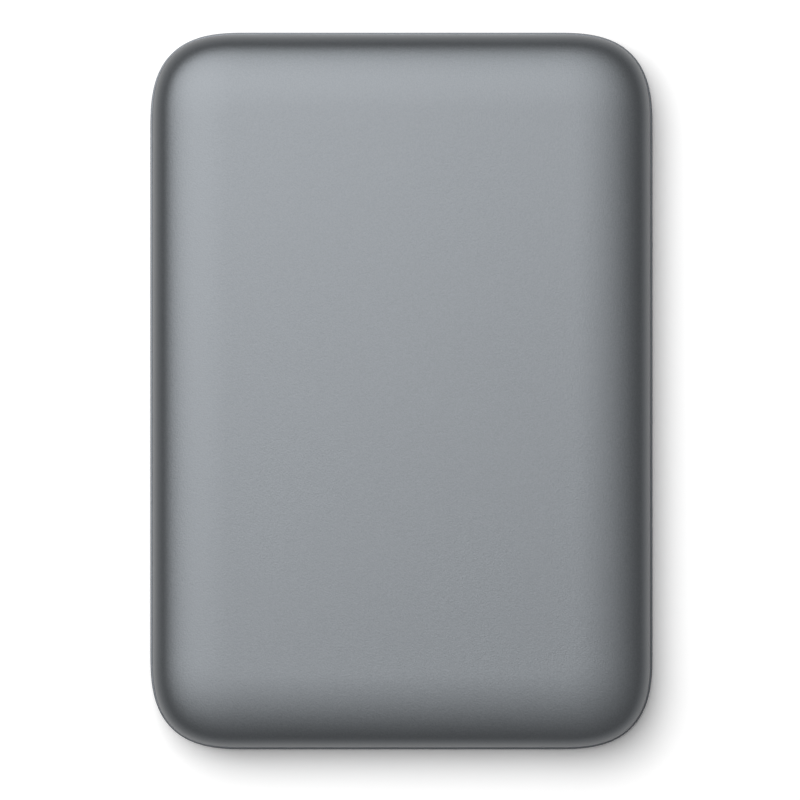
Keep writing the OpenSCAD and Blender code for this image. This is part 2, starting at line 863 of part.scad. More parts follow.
// The two blades of the serial connector, or the slots that take them
module sata_blades(grow, y0, y1) {
    signal_x = sata_end - sata_w / 2;
    power_x = sata_w / 2 - sata_end - sata_power_w;
    for (blade = [[signal_x, sata_signal_w], [power_x, sata_power_w]])
        box_between([sata_x + blade[0] - grow, y0, drive_z + sata_blade_z - grow],
            [sata_x + blade[0] + blade[1] + grow, y1, drive_z + sata_blade_z + sata_blade_t + grow]);
}

module sata_plug() {
    back_y = sata_front_y - sata_back_d;
    color("#232427")
        union() {
            box_between([sata_x - sata_w / 2, back_y, drive_z + drive_board_top],
                [sata_x + sata_w / 2, sata_front_y, drive_z + sata_top_z]);
            sata_blades(0, sata_front_y - cut, sata_front_y + sata_blade_l);
        }
}

module sata_socket() {
    front_y = sata_front_y + 2 * fit_clear;
    color("#232427")
        difference() {
            box_between([sata_x - sata_w / 2, front_y, board_top_z],
                [sata_x + sata_w / 2, front_y + sata_socket_d, drive_z + sata_top_z]);
            sata_blades(fit_clear, front_y - cut, front_y + sata_blade_l + fit_clear);
        }
}

// The sealed bay seen from above, widened all round by grow
module bay(grow, z0, z1) {
    left = -drive_w / 2 + bay_wall - grow;
    translate([0, spindle_y, z0])
        cylinder(r = disc_bay_r + grow, h = z1 - z0);
    bay_block(arm_bay_side - drive_w / 2 - grow, spindle_y + arm_bay_front - grow,
        pivot_x + arm_reach + arm_bay_room + grow, pivot_y - arm_bay_gap + grow, z0, z1, grow);
    bay_block(left, pivot_y - coil_bay_front - grow,
        pivot_x + coil_bay_right + grow, pivot_y + bay_end + grow, z0, z1, grow);
}

// A rounded block of the bay between two corners
module bay_block(x0, y0, x1, y1, z0, z1, grow) {
    translate([(x0 + x1) / 2, (y0 + y1) / 2, 0])
        round_block(x1 - x0, y1 - y0, bay_r + grow, z0, z1);
}

// Places its children at each screw of the drive's lid
module lid_screw_places() {
    x = drive_w / 2 - lid_screw_inset;
    for (place = [
        [-x, lid_screw_inset], [x, lid_screw_inset],
        [-x, pivot_y - lid_screw_left], [x, pivot_y + lid_screw_right],
        [-x, drive_l - lid_screw_inset], [x, drive_l - lid_screw_inset], [pivot_x, pivot_y]
    ])
        translate([place[0], place[1], 0])
            children();
}

// Places its children at each screw of the drive's own board
module board_screw_places() {
    x = drive_w / 2 - drive_board_inset - board_screw_side;
    for (side = [-1, 1], y = [drive_board_y + board_screw_front, drive_l - board_screw_back])
        translate([side * x, y, 0])
            children();
}

module drive_base() {
    bay_side = drive_w / 2 - drive_board_inset + drive_board_gap;
    color("#b7babd")
        in_drive()
            difference() {
                union() {
                    difference() {
                        translate([0, drive_l / 2, 0])
                            round_block(drive_w, drive_l, drive_r, 0, base_h);
                        bay(0, floor_z, base_h + cut);
                        difference() {
                            bay(gasket_land + gasket_w, base_h - gasket_h, base_h + cut);
                            bay(gasket_land, base_h - gasket_h - cut, base_h + 2 * cut);
                        }
                        translate([0, spindle_y, well_z])
                            cylinder(r = well_r, h = floor_z - well_z + cut);
                        translate([0, (rail_w + drive_board_y) / 2, -cut])
                            round_block(drive_w - 2 * rail_w, drive_board_y - 2 * rail_w, bay_r,
                                0, cut + relief_h);
                        box_between([-bay_side, drive_board_y - drive_board_gap, -cut],
                            [bay_side, drive_l + cut, board_bay_h]);
                        box_between([chip_left, pivot_y - chip_front, board_bay_h - cut],
                            [chip_right, pivot_y + chip_back, board_bay_h + chip_pocket]);
                        box_between([sata_x - sata_w / 2 - sata_side, drive_l - sata_notch, -cut],
                            [sata_x + sata_w / 2 + sata_side, drive_l + cut, base_h + cut]);
                    }
                    translate([0, spindle_y, relief_h])
                        cylinder(r = stator_in_r - fit_clear / 2, h = boss_z - relief_h);
                    translate([0, spindle_y, relief_h])
                        cylinder(r = stator_seat_r, h = floor_z - relief_h);
                    translate([pivot_x, pivot_y, floor_z - root_depth])
                        cylinder(d = pivot_boss_d, h = pivot_boss_h + root_depth);
                    board_screw_places()
                        translate([0, 0, drive_board_top])
                            cylinder(d = board_boss_d, h = board_bay_h - drive_board_top + boss_root);
                }
                translate([0, spindle_y, -cut])
                    cylinder(d = sleeve_d + 2 * run_clear, h = floor_z + boss_z);
                translate([pivot_x, pivot_y, spigot_z - spigot_clear])
                    cylinder(d = spigot_d + 2 * run_clear, h = floor_z);
                translate([0, 0, base_h - lid_screw_l])
                    lid_screw_places()
                        cylinder(d = lid_screw_d + fit_clear, h = lid_screw_l + cut);
                board_screw_places()
                    translate([0, 0, drive_board_top - cut])
                        cylinder(d = board_screw_d + fit_clear, h = cut + board_screw_room);
            }
}

module drive_lid() {
    color("#c3c6c9")
        in_drive()
            difference() {
                translate([0, drive_l / 2, 0])
                    round_block(drive_w - 2 * lid_inset, drive_l - 2 * lid_inset, drive_r - lid_inset,
                        base_h, drive_h);
                lid_screw_places() {
                    translate([0, 0, base_h - cut])
                        cylinder(d = lid_screw_d + fit_clear, h = lid_t + 2 * cut);
                    translate([0, 0, drive_h - head_t])
                        cylinder(d = lid_head_d + 2 * fit_clear, h = head_t + cut);
                }
            }
}

module lid_gasket() {
    side = fit_clear / 2;
    color("#2c2c2e")
        in_drive()
            difference() {
                bay(gasket_land + gasket_w - side, base_h - gasket_h, base_h);
                bay(gasket_land + side, base_h - gasket_h - cut, base_h + cut);
            }
}

// A countersunk screw: its head's top lies at z = 0 and its shank points down
module screw(head_d, head_h, shank_d, shank_l) {
    socket_d = head_d / socket_ratio;
    difference() {
        rotate_extrude()
            polygon([
                [0, -head_h - shank_l], [shank_d / 2, -head_h - shank_l], [shank_d / 2, -head_h],
                [head_d / 2, -head_h], [head_d / 2, 0], [0, 0]
            ]);
        translate([0, 0, -head_h / 2])
            cylinder(d = socket_d, h = head_h, $fn = 6);
    }
}

module lid_screws() {
    shank_l = lid_screw_l + lid_t - head_t - fit_clear;
    color("#55585c")
        in_drive()
            translate([0, 0, drive_h])
                lid_screw_places()
                    screw(lid_head_d, head_t, lid_screw_d, shank_l);
}

module spindle_sleeve() {
    color("#c0a878")
        at_spindle()
            difference() {
                translate([0, 0, sleeve_z])
                    cylinder(d = sleeve_d, h = sleeve_top_z - sleeve_z);
                translate([0, 0, shaft_z - run_clear])
                    cylinder(d = shaft_d + 2 * run_clear, h = sleeve_top_z);
            }
}

module spindle_shaft() {
    color("#d0d3d6")
        at_spindle()
            translate([0, 0, shaft_z])
                cylinder(d = shaft_d, h = hub_top_z - shaft_z);
}

// Places its children at each screw of the disc clamp
module clamp_screw_places() {
    for (i = [0 : clamp_screw_count - 1])
        rotate([0, 0, 360 * i / clamp_screw_count])
            translate([clamp_screw_r, 0, 0])
                children();
}

module spindle_hub() {
    bore_r = shaft_d / 2 + run_clear;
    skirt_r = magnet_r + magnet_t + run_clear;
    color("#caccce")
        at_spindle()
            difference() {
                rotate_extrude()
                    polygon([
                        [bore_r, hub_plate_z], [skirt_r, hub_plate_z], [skirt_r, skirt_z],
                        [hub_r, skirt_z], [hub_r, flange_z], [clamp_d / 2, flange_z],
                        [clamp_d / 2, disc_low_z], [hub_r, disc_low_z], [hub_r, hub_top_z],
                        [bore_r, hub_top_z]
                    ]);
                translate([0, 0, hub_top_z - clamp_screw_l])
                    clamp_screw_places()
                        cylinder(d = clamp_screw_d + fit_clear, h = clamp_screw_l + cut);
            }
}

// A point turned about the Z axis
function turned(p, a) = [p.x * cos(a) - p.y * sin(a), p.x * sin(a) + p.y * cos(a)];

// Outline of one pole about +X: a straight stem, a curved tip and the notch after it
function pole_outline() =
    let (tip_r = magnet_r - air_gap, stem = tooth_w / 2)
    concat(
        [[core_r, -stem], [tip_in_r, -stem], turned([tip_in_r, 0], -tip_half)],
        [for (i = [-3 : 3]) turned([tip_r, 0], tip_half * i / 3)],
        [turned([tip_in_r, 0], tip_half), [tip_in_r, stem], [core_r, stem]],
        [turned([core_r, 0], 180 / pole_count)]
    );

module stator_core() {
    color("#8d9095")
        at_spindle()
            difference() {
                translate([0, 0, floor_z])
                    linear_extrude(core_t)
                        polygon([
                            for (i = [0 : pole_count - 1], p = pole_outline())
                                turned(p, 360 * i / pole_count)
                        ]);
                translate([0, 0, floor_z - cut])
                    cylinder(r = stator_in_r, h = core_t + 2 * cut);
            }
}

module stator_coils() {
    color("#b5693a")
        at_spindle()
            for (i = [0 : pole_count - 1])
                rotate([0, 0, 360 * i / pole_count])
                    difference() {
                        box_between([core_r + fit_clear, -tooth_w, floor_z - wind_t],
                            [tip_in_r - fit_clear, tooth_w, floor_z + core_t + wind_t]);
                        box_between([core_r - cut, -tooth_w / 2 - fit_clear / 2, floor_z - fit_clear / 2],
                            [tip_in_r + cut, tooth_w / 2 + fit_clear / 2, floor_z + core_t + fit_clear / 2]);
                    }
}

module rotor_magnet() {
    color("#3a3c40")
        at_spindle()
            ring(magnet_r, magnet_r + magnet_t, skirt_z + fit_clear, hub_plate_z - fit_clear);
}

module disc(z) {
    color("#d9dcdf")
        at_spindle()
            ring(disc_bore_d / 2, disc_d / 2, z, z + disc_t);
}

module lower_disc() { disc(disc_low_z); }
module upper_disc() { disc(disc_high_z); }

module disc_spacer() {
    color("#b9bcbf")
        at_spindle()
            ring(disc_bore_d / 2, clamp_d / 2, disc_low_z + disc_t, disc_high_z);
}

module disc_clamp() {
    color("#c6c9cc")
        at_spindle()
            difference() {
                ring(clamp_bore_r, clamp_d / 2, disc_top_z, disc_top_z + clamp_t);
                clamp_screw_places() {
                    translate([0, 0, disc_top_z - cut])
                        cylinder(d = clamp_screw_d + fit_clear, h = clamp_t + 2 * cut);
                    translate([0, 0, disc_top_z + clamp_t / 2])
                        cylinder(d = clamp_head_d + fit_clear, h = clamp_t);
                }
            }
}

module clamp_screws() {
    shank_l = disc_top_z + clamp_t / 2 - hub_top_z + clamp_screw_l - fit_clear;
    color("#55585c")
        at_spindle()
            translate([0, 0, disc_top_z + clamp_t / 2 + clamp_head_t])
                clamp_screw_places()
                    screw(clamp_head_d, clamp_head_t, clamp_screw_d, shank_l);
}

// One flat plate of the head arm, tapering from the hub to the suspensions
module arm_plate(z, t) {
    root = hub_d / 2 - arm_root_in;
    translate([0, 0, z])
        linear_extrude(t)
            polygon([
                [0, -root], [arm_l - arm_tip, -arm_tip], [arm_l, -arm_tip / 2],
                [arm_l, arm_tip / 2], [arm_l - arm_tip, arm_tip], [0, root]
            ]);
}

module head_arm() {
    coil_side = 180 + coil_turn;
    coil_mid_z = coil_z + coil_t / 2;
    color("#b4b8bc")
        along_arm()
            difference() {
                union() {
                    translate([0, 0, arm_low_z])
                        cylinder(d = hub_d, h = arm_top_z - arm_low_z);
                    arm_plate(arm_low_z, arm_t);
                    arm_plate(arm_mid_z, arm_mid_t);
                    arm_plate(arm_high_z, arm_t);
                    sector(hub_d / 2 - fork_root, coil_out_r - fork_end, coil_side, coil_half + fork_span,
                        coil_mid_z - fork_t / 2, coil_mid_z + fork_t / 2);
                }
                translate([0, 0, arm_low_z - cut])
                    cylinder(d = cartridge_d + 2 * run_clear, h = base_h);
                sector(coil_in_r - fit_clear, coil_out_r + cut, coil_side, coil_half + coil_seat,
                    coil_mid_z - fork_t, coil_mid_z + fork_t);
                for (i = [0 : 2])
                    translate([arm_hole_x + arm_hole_pitch * i, 0, arm_low_z - cut])
                        cylinder(r = arm_hole_r - arm_hole_step * i, h = base_h);
            }
}

module voice_coil() {
    coil_side = 180 + coil_turn;
    color("#b5693a")
        along_arm()
            difference() {
                sector(coil_in_r, coil_out_r, coil_side, coil_half, coil_z, coil_z + coil_t);
                sector(coil_in_r + coil_band, coil_out_r - coil_band, coil_side, coil_half / 2,
                    coil_z - cut, coil_z + coil_t + cut);
            }
}

module suspensions() {
    root_x = arm_l - beam_root;
    tip_x = arm_reach + beam_tip;
    end_x = arm_reach + tab_l;
    root_side = beam_root_w / 2;
    tip_side = beam_tip_w / 2;
    tab_side = tab_w / 2;
    color("#c9ccd0")
        along_arm()
            for (z = beam_levels)
                translate([0, 0, z])
                    linear_extrude(beam_t)
                        polygon([
                            [root_x, -root_side], [tip_x, -tip_side], [tip_x + beam_nose, -tab_side],
                            [end_x, -tab_side], [end_x, tab_side], [tip_x + beam_nose, tab_side],
                            [tip_x, tip_side], [root_x, root_side]
                        ]);
}

module slider_heads() {
    color("#3b3d40")
        along_arm()
            for (i = [0 : 3]) {
                z = i % 2 == 0 ? beam_levels[i] + beam_t : beam_levels[i] - slider_t;
                box_between([arm_reach - slider_l / 2, -slider_w / 2, z],
                    [arm_reach + slider_l / 2, slider_w / 2, z + slider_t]);
            }
}

module pivot_cartridge() {
    color("#aeb1b4")
        at_pivot()
            ring(bearing_r + run_clear, cartridge_d / 2, pivot_boss_z + collar_t + fit_clear, arm_top_z);
}

module pivot_bearings() {
    color("#d0d3d6")
        at_pivot()
            for (z = [pivot_boss_z + collar_t + 2 * fit_clear, arm_top_z - bearing_t - fit_clear])
                ring(pivot_d / 2 + run_clear, bearing_r, z, z + bearing_t);
}

module pivot_shaft() {
    color("#d0d3d6")
        at_pivot()
            difference() {
                rotate_extrude()
                    polygon([
                        [0, spigot_z], [spigot_d / 2, spigot_z], [spigot_d / 2, pivot_boss_z],
                        [collar_r, pivot_boss_z], [collar_r, pivot_boss_z + collar_t],
                        [pivot_d / 2, pivot_boss_z + collar_t], [pivot_d / 2, base_h], [0, base_h]
                    ]);
                translate([0, 0, base_h - lid_screw_l])
                    cylinder(d = lid_screw_d + fit_clear, h = lid_screw_l + cut);
            }
}

// One magnet plate with its two ears
module yoke_plate(z) {
    sector(hub_d / 2 + yoke_in, yoke_r, yoke_middle, yoke_half, z, z + yoke_t);
    sector(yoke_post_r - yoke_ear, yoke_post_r + yoke_ear, yoke_middle, yoke_post_turn + yoke_ear_turn,
        z, z + yoke_t);
}

module lower_yoke() {
    color("#9a9da1")
        at_pivot() {
            yoke_plate(floor_z);
            for (side = [-1, 1])
                rotate([0, 0, yoke_middle + side * yoke_post_turn])
                    translate([yoke_post_r, 0, floor_z])
                        cylinder(d = yoke_post_d, h = upper_yoke_z - floor_z);
        }
}

module upper_yoke() {
    color("#9a9da1")
        at_pivot()
            yoke_plate(upper_yoke_z);
}

module yoke_magnet(z) {
    color("#6d7075")
        at_pivot()
            sector(coil_in_r + magnet_in, coil_out_r - magnet_out, yoke_middle, yoke_half - magnet_turn,
                z, z + magnet_plate_t);
}

module lower_magnet() { yoke_magnet(floor_z + yoke_t); }
module upper_magnet() { yoke_magnet(upper_yoke_z - magnet_plate_t); }

module load_ramp() {
    in_r = arm_reach + ramp_in;
    back_r = arm_reach + tab_l + ramp_back;
    out_r = arm_reach + ramp_out + ramp_t;
    color("#e4dfd0")
        at_pivot()
            difference() {
                union() {
                    sector(in_r, out_r, park_angle, ramp_half, floor_z, arm_top_z);
                    sector(out_r - root_depth, out_r + ramp_foot_l, park_angle, ramp_half,
                        floor_z, floor_z + ramp_foot_h);
                }
                for (z = beam_levels)
                    sector(in_r - cut, back_r, park_angle, ramp_half + ramp_over,
                        z - ramp_clear, z + beam_t + ramp_clear);
            }
}

module crash_stop() {
    stop_turn = coil_middle + coil_half + fork_span + stop_gap_turn;
    color("#2a2b2d")
        at_pivot()
            rotate([0, 0, stop_turn])
                translate([coil_out_r - stop_in, 0, floor_z])
                    cylinder(r = stop_r, h = coil_z + coil_t - floor_z);
}

module air_filter() {
    color("#efeee8")
        at_pivot()
            translate([filter_place.x, filter_place.y, floor_z])
                rotate([0, 0, 45])
                    translate([-filter_size.x / 2, -filter_size.y / 2, 0])
                        cube(filter_size);
}

module breather_filter() {
    color("#efeee8")
        at_pivot()
            translate([breather_place.x, breather_place.y, base_h - breather_h])
                cylinder(d = breather_d, h = breather_h);
}

module flex_ribbon() {
    bottom = pivot_boss_z + ribbon_rise;
    top = base_h - ribbon_drop;
    half_t = ribbon_t / 2;
    color("#a8672f")
        at_pivot()
            translate([ribbon_x, ribbon_y, 0]) {
                sector(ribbon_r - half_t, ribbon_r + half_t, 90, 90, bottom, top);
                box_between([-ribbon_r - half_t, -ribbon_end, bottom], [-ribbon_r + half_t, 0, top]);
                box_between([ribbon_r - half_t, -ribbon_tail, bottom], [ribbon_r + half_t, 0, top]);
            }
}

module flex_bracket() {
    tab_y = (bracket_size.y - bracket_tab.y) / 2;
    color("#2b2c2f")
        at_pivot()
            translate([ribbon_x + ribbon_r + ribbon_t / 2, ribbon_y - bracket_front, floor_z]) {
                cube(bracket_size);
                translate([0, tab_y, 0])
                    cube([bracket_tab.x, bracket_tab.y, base_h - ribbon_drop - floor_z]);
            }
}

module drive_board() {
    w = drive_w - 2 * drive_board_inset;
    color("#1f5a3c")
        in_drive()
            difference() {
                translate([0, drive_board_y + drive_board_l / 2, 0])
                    round_block(w, drive_board_l, board_corner_r, drive_board_rise, drive_board_top);
                board_screw_places()
                    translate([0, 0, drive_board_rise - cut])
                        cylinder(d = board_screw_d + fit_clear, h = drive_board_t + 2 * cut);
            }
}

module board_screws() {
    color("#55585c")
        in_drive()
            board_screw_places()
                mirror([0, 0, 1])
                    screw(board_head_d, drive_board_rise, board_screw_d, drive_board_t + board_screw_bite);
}

module controller_chip() {
    place = controller_place + [chip_left, pivot_y];
    color("#1d1d1f") in_drive() chip(place.x, place.y, drive_board_top, controller_size);
}

module motor_driver_chip() {
    place = motor_chip_place + [chip_right, pivot_y];
    color("#1d1d1f") in_drive() chip(place.x, place.y, drive_board_top, motor_chip_size);
}

module memory_chip() {
    place = memory_place + [chip_right, pivot_y];
    color("#1d1d1f") in_drive() chip(place.x, place.y, drive_board_top, memory_size);
}

top_cover();
bottom_cover();
foot_front_left();
foot_front_right();
foot_rear_left();
foot_rear_right();
pad_front_left();
pad_front_right();
pad_rear_left();
pad_rear_right();
bridge_board();
bridge_chip();
flash_chip();
crystal();
voltage_regulator();
sata_socket();
usb_shell();
usb_tongue();
status_led();
light_pipe();
drive_base();
drive_lid();
lid_gasket();
lid_screws();
spindle_sleeve();
spindle_shaft();
spindle_hub();
stator_core();
stator_coils();
rotor_magnet();
lower_disc();
disc_spacer();
upper_disc();
disc_clamp();
clamp_screws();
head_arm();
suspensions();
slider_heads();
voice_coil();
pivot_cartridge();
pivot_bearings();
pivot_shaft();
lower_yoke();
upper_yoke();
lower_magnet();
upper_magnet();
load_ramp();
crash_stop();
air_filter();
breather_filter();
flex_bracket();
flex_ribbon();
drive_board();
board_screws();
sata_plug();
controller_chip();
motor_driver_chip();
memory_chip();
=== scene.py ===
from math import pi, radians

import bpy
import numpy as np
from bpy.props import FloatProperty, FloatVectorProperty, PointerProperty
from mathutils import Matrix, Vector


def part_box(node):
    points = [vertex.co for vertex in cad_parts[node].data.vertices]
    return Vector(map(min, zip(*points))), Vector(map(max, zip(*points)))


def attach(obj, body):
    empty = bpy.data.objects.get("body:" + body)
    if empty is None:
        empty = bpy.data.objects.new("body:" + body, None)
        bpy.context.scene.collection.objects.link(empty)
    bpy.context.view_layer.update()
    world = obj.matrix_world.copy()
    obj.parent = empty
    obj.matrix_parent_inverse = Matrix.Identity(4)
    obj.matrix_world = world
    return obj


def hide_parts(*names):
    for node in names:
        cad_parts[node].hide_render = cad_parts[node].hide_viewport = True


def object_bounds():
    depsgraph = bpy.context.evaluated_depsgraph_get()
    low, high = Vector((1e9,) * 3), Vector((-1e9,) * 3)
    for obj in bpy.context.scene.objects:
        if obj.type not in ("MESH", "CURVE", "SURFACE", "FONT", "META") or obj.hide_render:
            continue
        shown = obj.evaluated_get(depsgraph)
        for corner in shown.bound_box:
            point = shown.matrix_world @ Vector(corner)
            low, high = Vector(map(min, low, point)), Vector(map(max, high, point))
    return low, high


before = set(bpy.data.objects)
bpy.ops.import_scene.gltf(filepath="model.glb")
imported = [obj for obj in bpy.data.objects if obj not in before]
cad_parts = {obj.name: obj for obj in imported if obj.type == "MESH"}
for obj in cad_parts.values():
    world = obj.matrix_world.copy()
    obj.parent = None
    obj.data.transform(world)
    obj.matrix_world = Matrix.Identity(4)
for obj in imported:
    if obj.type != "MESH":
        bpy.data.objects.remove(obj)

bl_info = {
    "name": "Portable hard drive",
    "version": (1, 0, 0),
    "blender": (4, 5, 0),
    "location": "View3D > Sidebar > Hard drive",
    "description": "Builds the looks of a portable hard drive round its packed solids",
    "category": "Object",
}

MM = 0.001
CAD_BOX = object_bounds()
CASE_LOW, CASE_HIGH = CAD_BOX

# Steps of a corner seen from above, a side, a section, the status light, a foot's pocket, a
# foot, a board pin and the floor, and the number of the floor's rings
CORNER_STEPS, SIDE_STEPS, ROUND_STEPS, LIGHT_STEPS = 44, 36, 40, 48
POCKET_STEPS, FOOT_STEPS, PIN_STEPS, FLOOR_STEPS, FLOOR_RINGS = 72, 96, 32, 96, 24
# How fast the curvature of the cover's wall and of its crown fades towards the shoulder
WALL_FADE, CROWN_FADE = 10, 12
# How far the middle of a quarter arc lies in from its two sides, as a share of its radius
ARC_MIDDLE = 0.3
# The radius that closes a turned form on its axis, the least reach of a corner, and how far a
# cutter reaches past what it cuts
POINT, LEAST_REACH, PAST = 0.01 * MM, 0.3 * MM, MM
# The floor's radius in metres, the camera's sensor in millimetres, and the angle in degrees
# past which an edge is sharp
FLOOR_RADIUS, SENSOR, SMOOTH_ANGLE = 3, 36, 32


def shown(red, green, blue):
    """Scene-linear colour of a colour given as it looks on a screen, 0 to 255."""
    value = np.array([red, green, blue]) / 255
    linear = np.where(value <= 0.04045, value / 12.92, ((value + 0.055) / 1.055) ** 2.4)
    return tuple(float(v) for v in linear)


# Sizes and colours that can be changed


def distance(name, millimetres, description):
    """A length property, given in millimetres and kept in metres."""
    words = {"name": name, "description": description}
    return FloatProperty(default=millimetres * MM, unit="LENGTH", subtype="DISTANCE", precision=5, **words)


def plain(name, default, description):
    """A number without a unit."""
    return FloatProperty(name=name, default=default, description=description)


def tint(name, red, green, blue, description):
    """A colour property, given as it looks on a screen."""
    words = {"name": name, "description": description}
    return FloatVectorProperty(default=shown(red, green, blue), subtype="COLOR", min=0, max=1, **words)


class CaseSizes(bpy.types.PropertyGroup):
    """Sizes of the two halves of the case."""

    width: distance("Width", (CASE_HIGH.x - CASE_LOW.x) / MM, "Width of the tray")
    length: distance("Length", (CASE_HIGH.y - CASE_LOW.y) / MM, "Length of the tray")
    height: distance("Height", CASE_HIGH.z / MM, "Height of the crown")
    wall: distance("Wall", 1.6, "Thickness of both halves")
    corner_power: plain("Corner fullness", 2.85, "Exponent of the corners seen from above")
    tray_corner: distance("Tray corner", 15.8, "Reach of the tray's corners along the sides")
    cover_corner: distance("Cover corner", 15.0, "Reach of the cover's corners along the sides")
    crown_width: distance("Crown width", 12.8, "Width of the cover's rounding")
    shoulder: plain("Shoulder", 4.3, "Tightness of the cover's shoulder")
    wall_curve: plain("Wall curve", 60.0, "Share of the section taken by the steep wall")
    crown_curve: plain("Crown curve", 112.7, "Share of the section taken by the gentle crown")
    tray_round: distance("Tray rounding", 4.2, "Width of the rounding under the tray")
    tray_power: plain("Tray fullness", 2.2, "Exponent of the tray's rounding")
    tray_low: distance("Tray underside", 0.5, "Height of the tray's underside")
    seam: distance("Parting line", 3.9, "Height of the parting line")
    seam_gap: distance("Seam gap", 0.15, "Gap between the two halves")
    seam_step: distance("Seam step", 0.45, "Step from the tray's side in to the cover's")
    seam_round: distance("Seam edge", 0.12, "Rounding of the two edges at the seam")
    groove: distance("Seam groove", 0.12, "Width of the groove inside the tray's rim")
    groove_depth: distance("Groove depth", 0.6, "Depth of the groove between the two halves")
    edge: distance("Tray edge", 0.7, "Thickness of the tray's edge outside the lip")
    lip: distance("Lip", 0.7, "Thickness of the cover's lip")
    lip_depth: distance("Lip depth", 1.2, "Reach of the lip below the parting line")
    lip_clear: distance("Lip clearance", 0.1, "Clearance round the lip")
    rib: distance("Rib", 1.0, "Thickness of the ribs inside")
    rib_bevel: distance("Rib bevel", 0.1, "Cut edges of the ribs")
    rib_depth: distance("Rib depth", 1.2, "Depth of the cover's ribs")
    rib_inset: distance("Rib inset", 12, "Distance of the long ribs from the case's ends")
    rib_pitch: distance("Rib pitch", 17, "Distance between the long ribs")
    cross_reach: distance("Cross rib reach", 26, "Half the length of the cover's cross ribs")
    cross_pitch: distance("Cross rib pitch", 22, "Distance between the cover's cross ribs")
    floor_rib: distance("Floor rib", 0.9, "Height of the tray's ribs")
    floor_inset: distance("Floor rib inset", 8, "Distance of the ribs from the drive's ends")
    root: distance("Root", 0.4, "Depth of ribs and posts in the tray's floor")
    catch: distance("Catch", 0.5, "Thickness and height of a snap catch")
    catch_length: distance("Catch length", 6, "Length of a snap catch")
    catch_pitch: distance("Catch pitch", 26, "Distance between the snap catches")
    catch_bevel: distance("Catch bevel", 0.05, "Cut edges of the snap catches")
    post: distance("Board post", 2.6, "Diameter of the posts under the bridge board")
    post_inset: distance("Board post inset", 1.6, "Distance of the posts from the board's ends")
    pin: distance("Board pin", 1.2, "Diameter of the pin on a post, through the board")
    pin_bevel: distance("Board pin bevel", 0.1, "Cut edge of the pin")


class FittingSizes(bpy.types.PropertyGroup):
    """Sizes of the feet, the socket and the status light."""

    foot: distance("Foot", 7, "Diameter of a foot")
    foot_height: distance("Foot height", 1.1, "Height of a foot with the part let into the tray")
    foot_round: distance("Foot edge", 0.35, "Rounding of a foot's lower edge")
    foot_inset: distance("Foot inset", 11, "Distance of the feet from the tray's sides")
    foot_dish: distance("Foot dish", 0.06, "Depth of the dish in a foot's sole")
    clear: distance("Clearance", 0.05, "Gap round the feet and the light pipe")
    socket_x: distance("Socket across", -16, "Place of the socket across the case")
    socket_z: distance("Socket height", 6.725, "Height of the socket's centre")
    socket_width: distance("Socket width", 12, "Width of the socket's mouth")
    socket_height: distance("Socket mouth", 1.85, "Height of the socket's mouth")
    socket_bevel: distance("Socket bevel", 0.55, "Cut corners of the mouth")
    socket_round: distance("Socket rounding", 0.28, "Rounding of the mouth's corners")
    opening: distance("Opening", 0.55, "Growth of the cover's opening past the mouth")
    chamfer: distance("Chamfer", 0.22, "Half the flare round the openings in the end wall")
    light_x: distance("Light across", -7.5, "Place of the status light across the case")
    light: distance("Light", 1.6, "Diameter of the light pipe")
    light_dish: distance("Light dish", 0.18, "Depth of the dish in the light pipe's end")
    contact: distance("Contact", 0.3, "Width of a wide contact strip")
    narrow_share: plain("Narrow share", 0.7, "Width of a narrow strip as a share of a wide one")
    wide_x: distance("Wide strips across", -2.45, "Place of the wide strips' middle")
    wide_pitch: distance("Wide strips' pitch", 1.1, "Distance between the wide strips")
    narrow_x: distance("Narrow strips across", 3.95, "Place of the narrow strips' middle")
    narrow_pitch: distance("Narrow strips' pitch", 0.55, "Distance between the narrow strips")
    strip_drop: distance("Strip drop", 0.95, "Depth of the strips below the mouth's top")
    strip_thick: distance("Strip thickness", 0.1, "Thickness of the strips")
    strip_bevel: distance("Strip bevel", 0.06, "Cut edges of the strips")
    strip_back: distance("Strip back", 4, "Distance of their back ends from the tongue's end")
    strip_front: distance("Strip front", 0.35, "Distance of their front ends from the tongue's end")


class Finish(bpy.types.PropertyGroup):
    """Colours of the outside."""

    cover: tint("Cover", 94, 97, 100, "Moulded plastic of the cover")
    tray: tint("Tray", 91, 94, 98, "Moulded plastic of the tray")
    rubber: tint("Rubber", 38, 39, 41, "Rubber of the feet and pads")
    grain: distance("Grain", 0.24, "Size of the moulded grain")
    board: tint("Board", 24, 74, 48, "Solder mask of the circuit boards")


class Stage(bpy.types.PropertyGroup):
    """Camera, light and floor."""

    camera_height: distance("Camera height", 900, "Height of the camera above the case")
    frame_width: distance("Frame", 129.03, "Width that the picture takes in at the seam")
    frame_x: distance("Frame across", -0.23, "Place of the picture's centre across the case")
    frame_y: distance("Frame along", -1.45, "Place of the picture's centre along the case")
    softbox: distance("Softbox", 800, "Side of the overhead softbox")
    softbox_left: distance("Softbox left", 200, "Distance of the softbox to the left")
    softbox_back: distance("Softbox back", 240, "Distance of the softbox to the back")
    softbox_height: distance("Softbox height", 900, "Height of the softbox")
    softbox_power: FloatProperty(
        name="Softbox power", default=12.1, description="Power of the overhead softbox", unit="POWER"
    )
    fill: plain("Fill", 0.028, "Strength of the room's own light")
    fill_mirrored: plain("Fill mirrored", 0.45, "Share of the room's white in reflections")
    floor: plain("Floor", 1.0, "How much light the seen floor returns")
    floor_lift: plain("Floor lift", 0.08, "Light added to the seen floor")
    floor_return: plain("Floor return", 0.12, "How much light the floor returns to the case")
    floor_mirrored: plain("Floor mirrored", 0.78, "Share of the floor's white in reflections")


# Meshes


def circle(steps):
    """Points (cos(t), sin(t)) of the unit circle, with t in even steps."""
    t = np.arange(steps) * 2 * pi / steps
    return np.stack([np.cos(t), np.sin(t)], axis=-1)


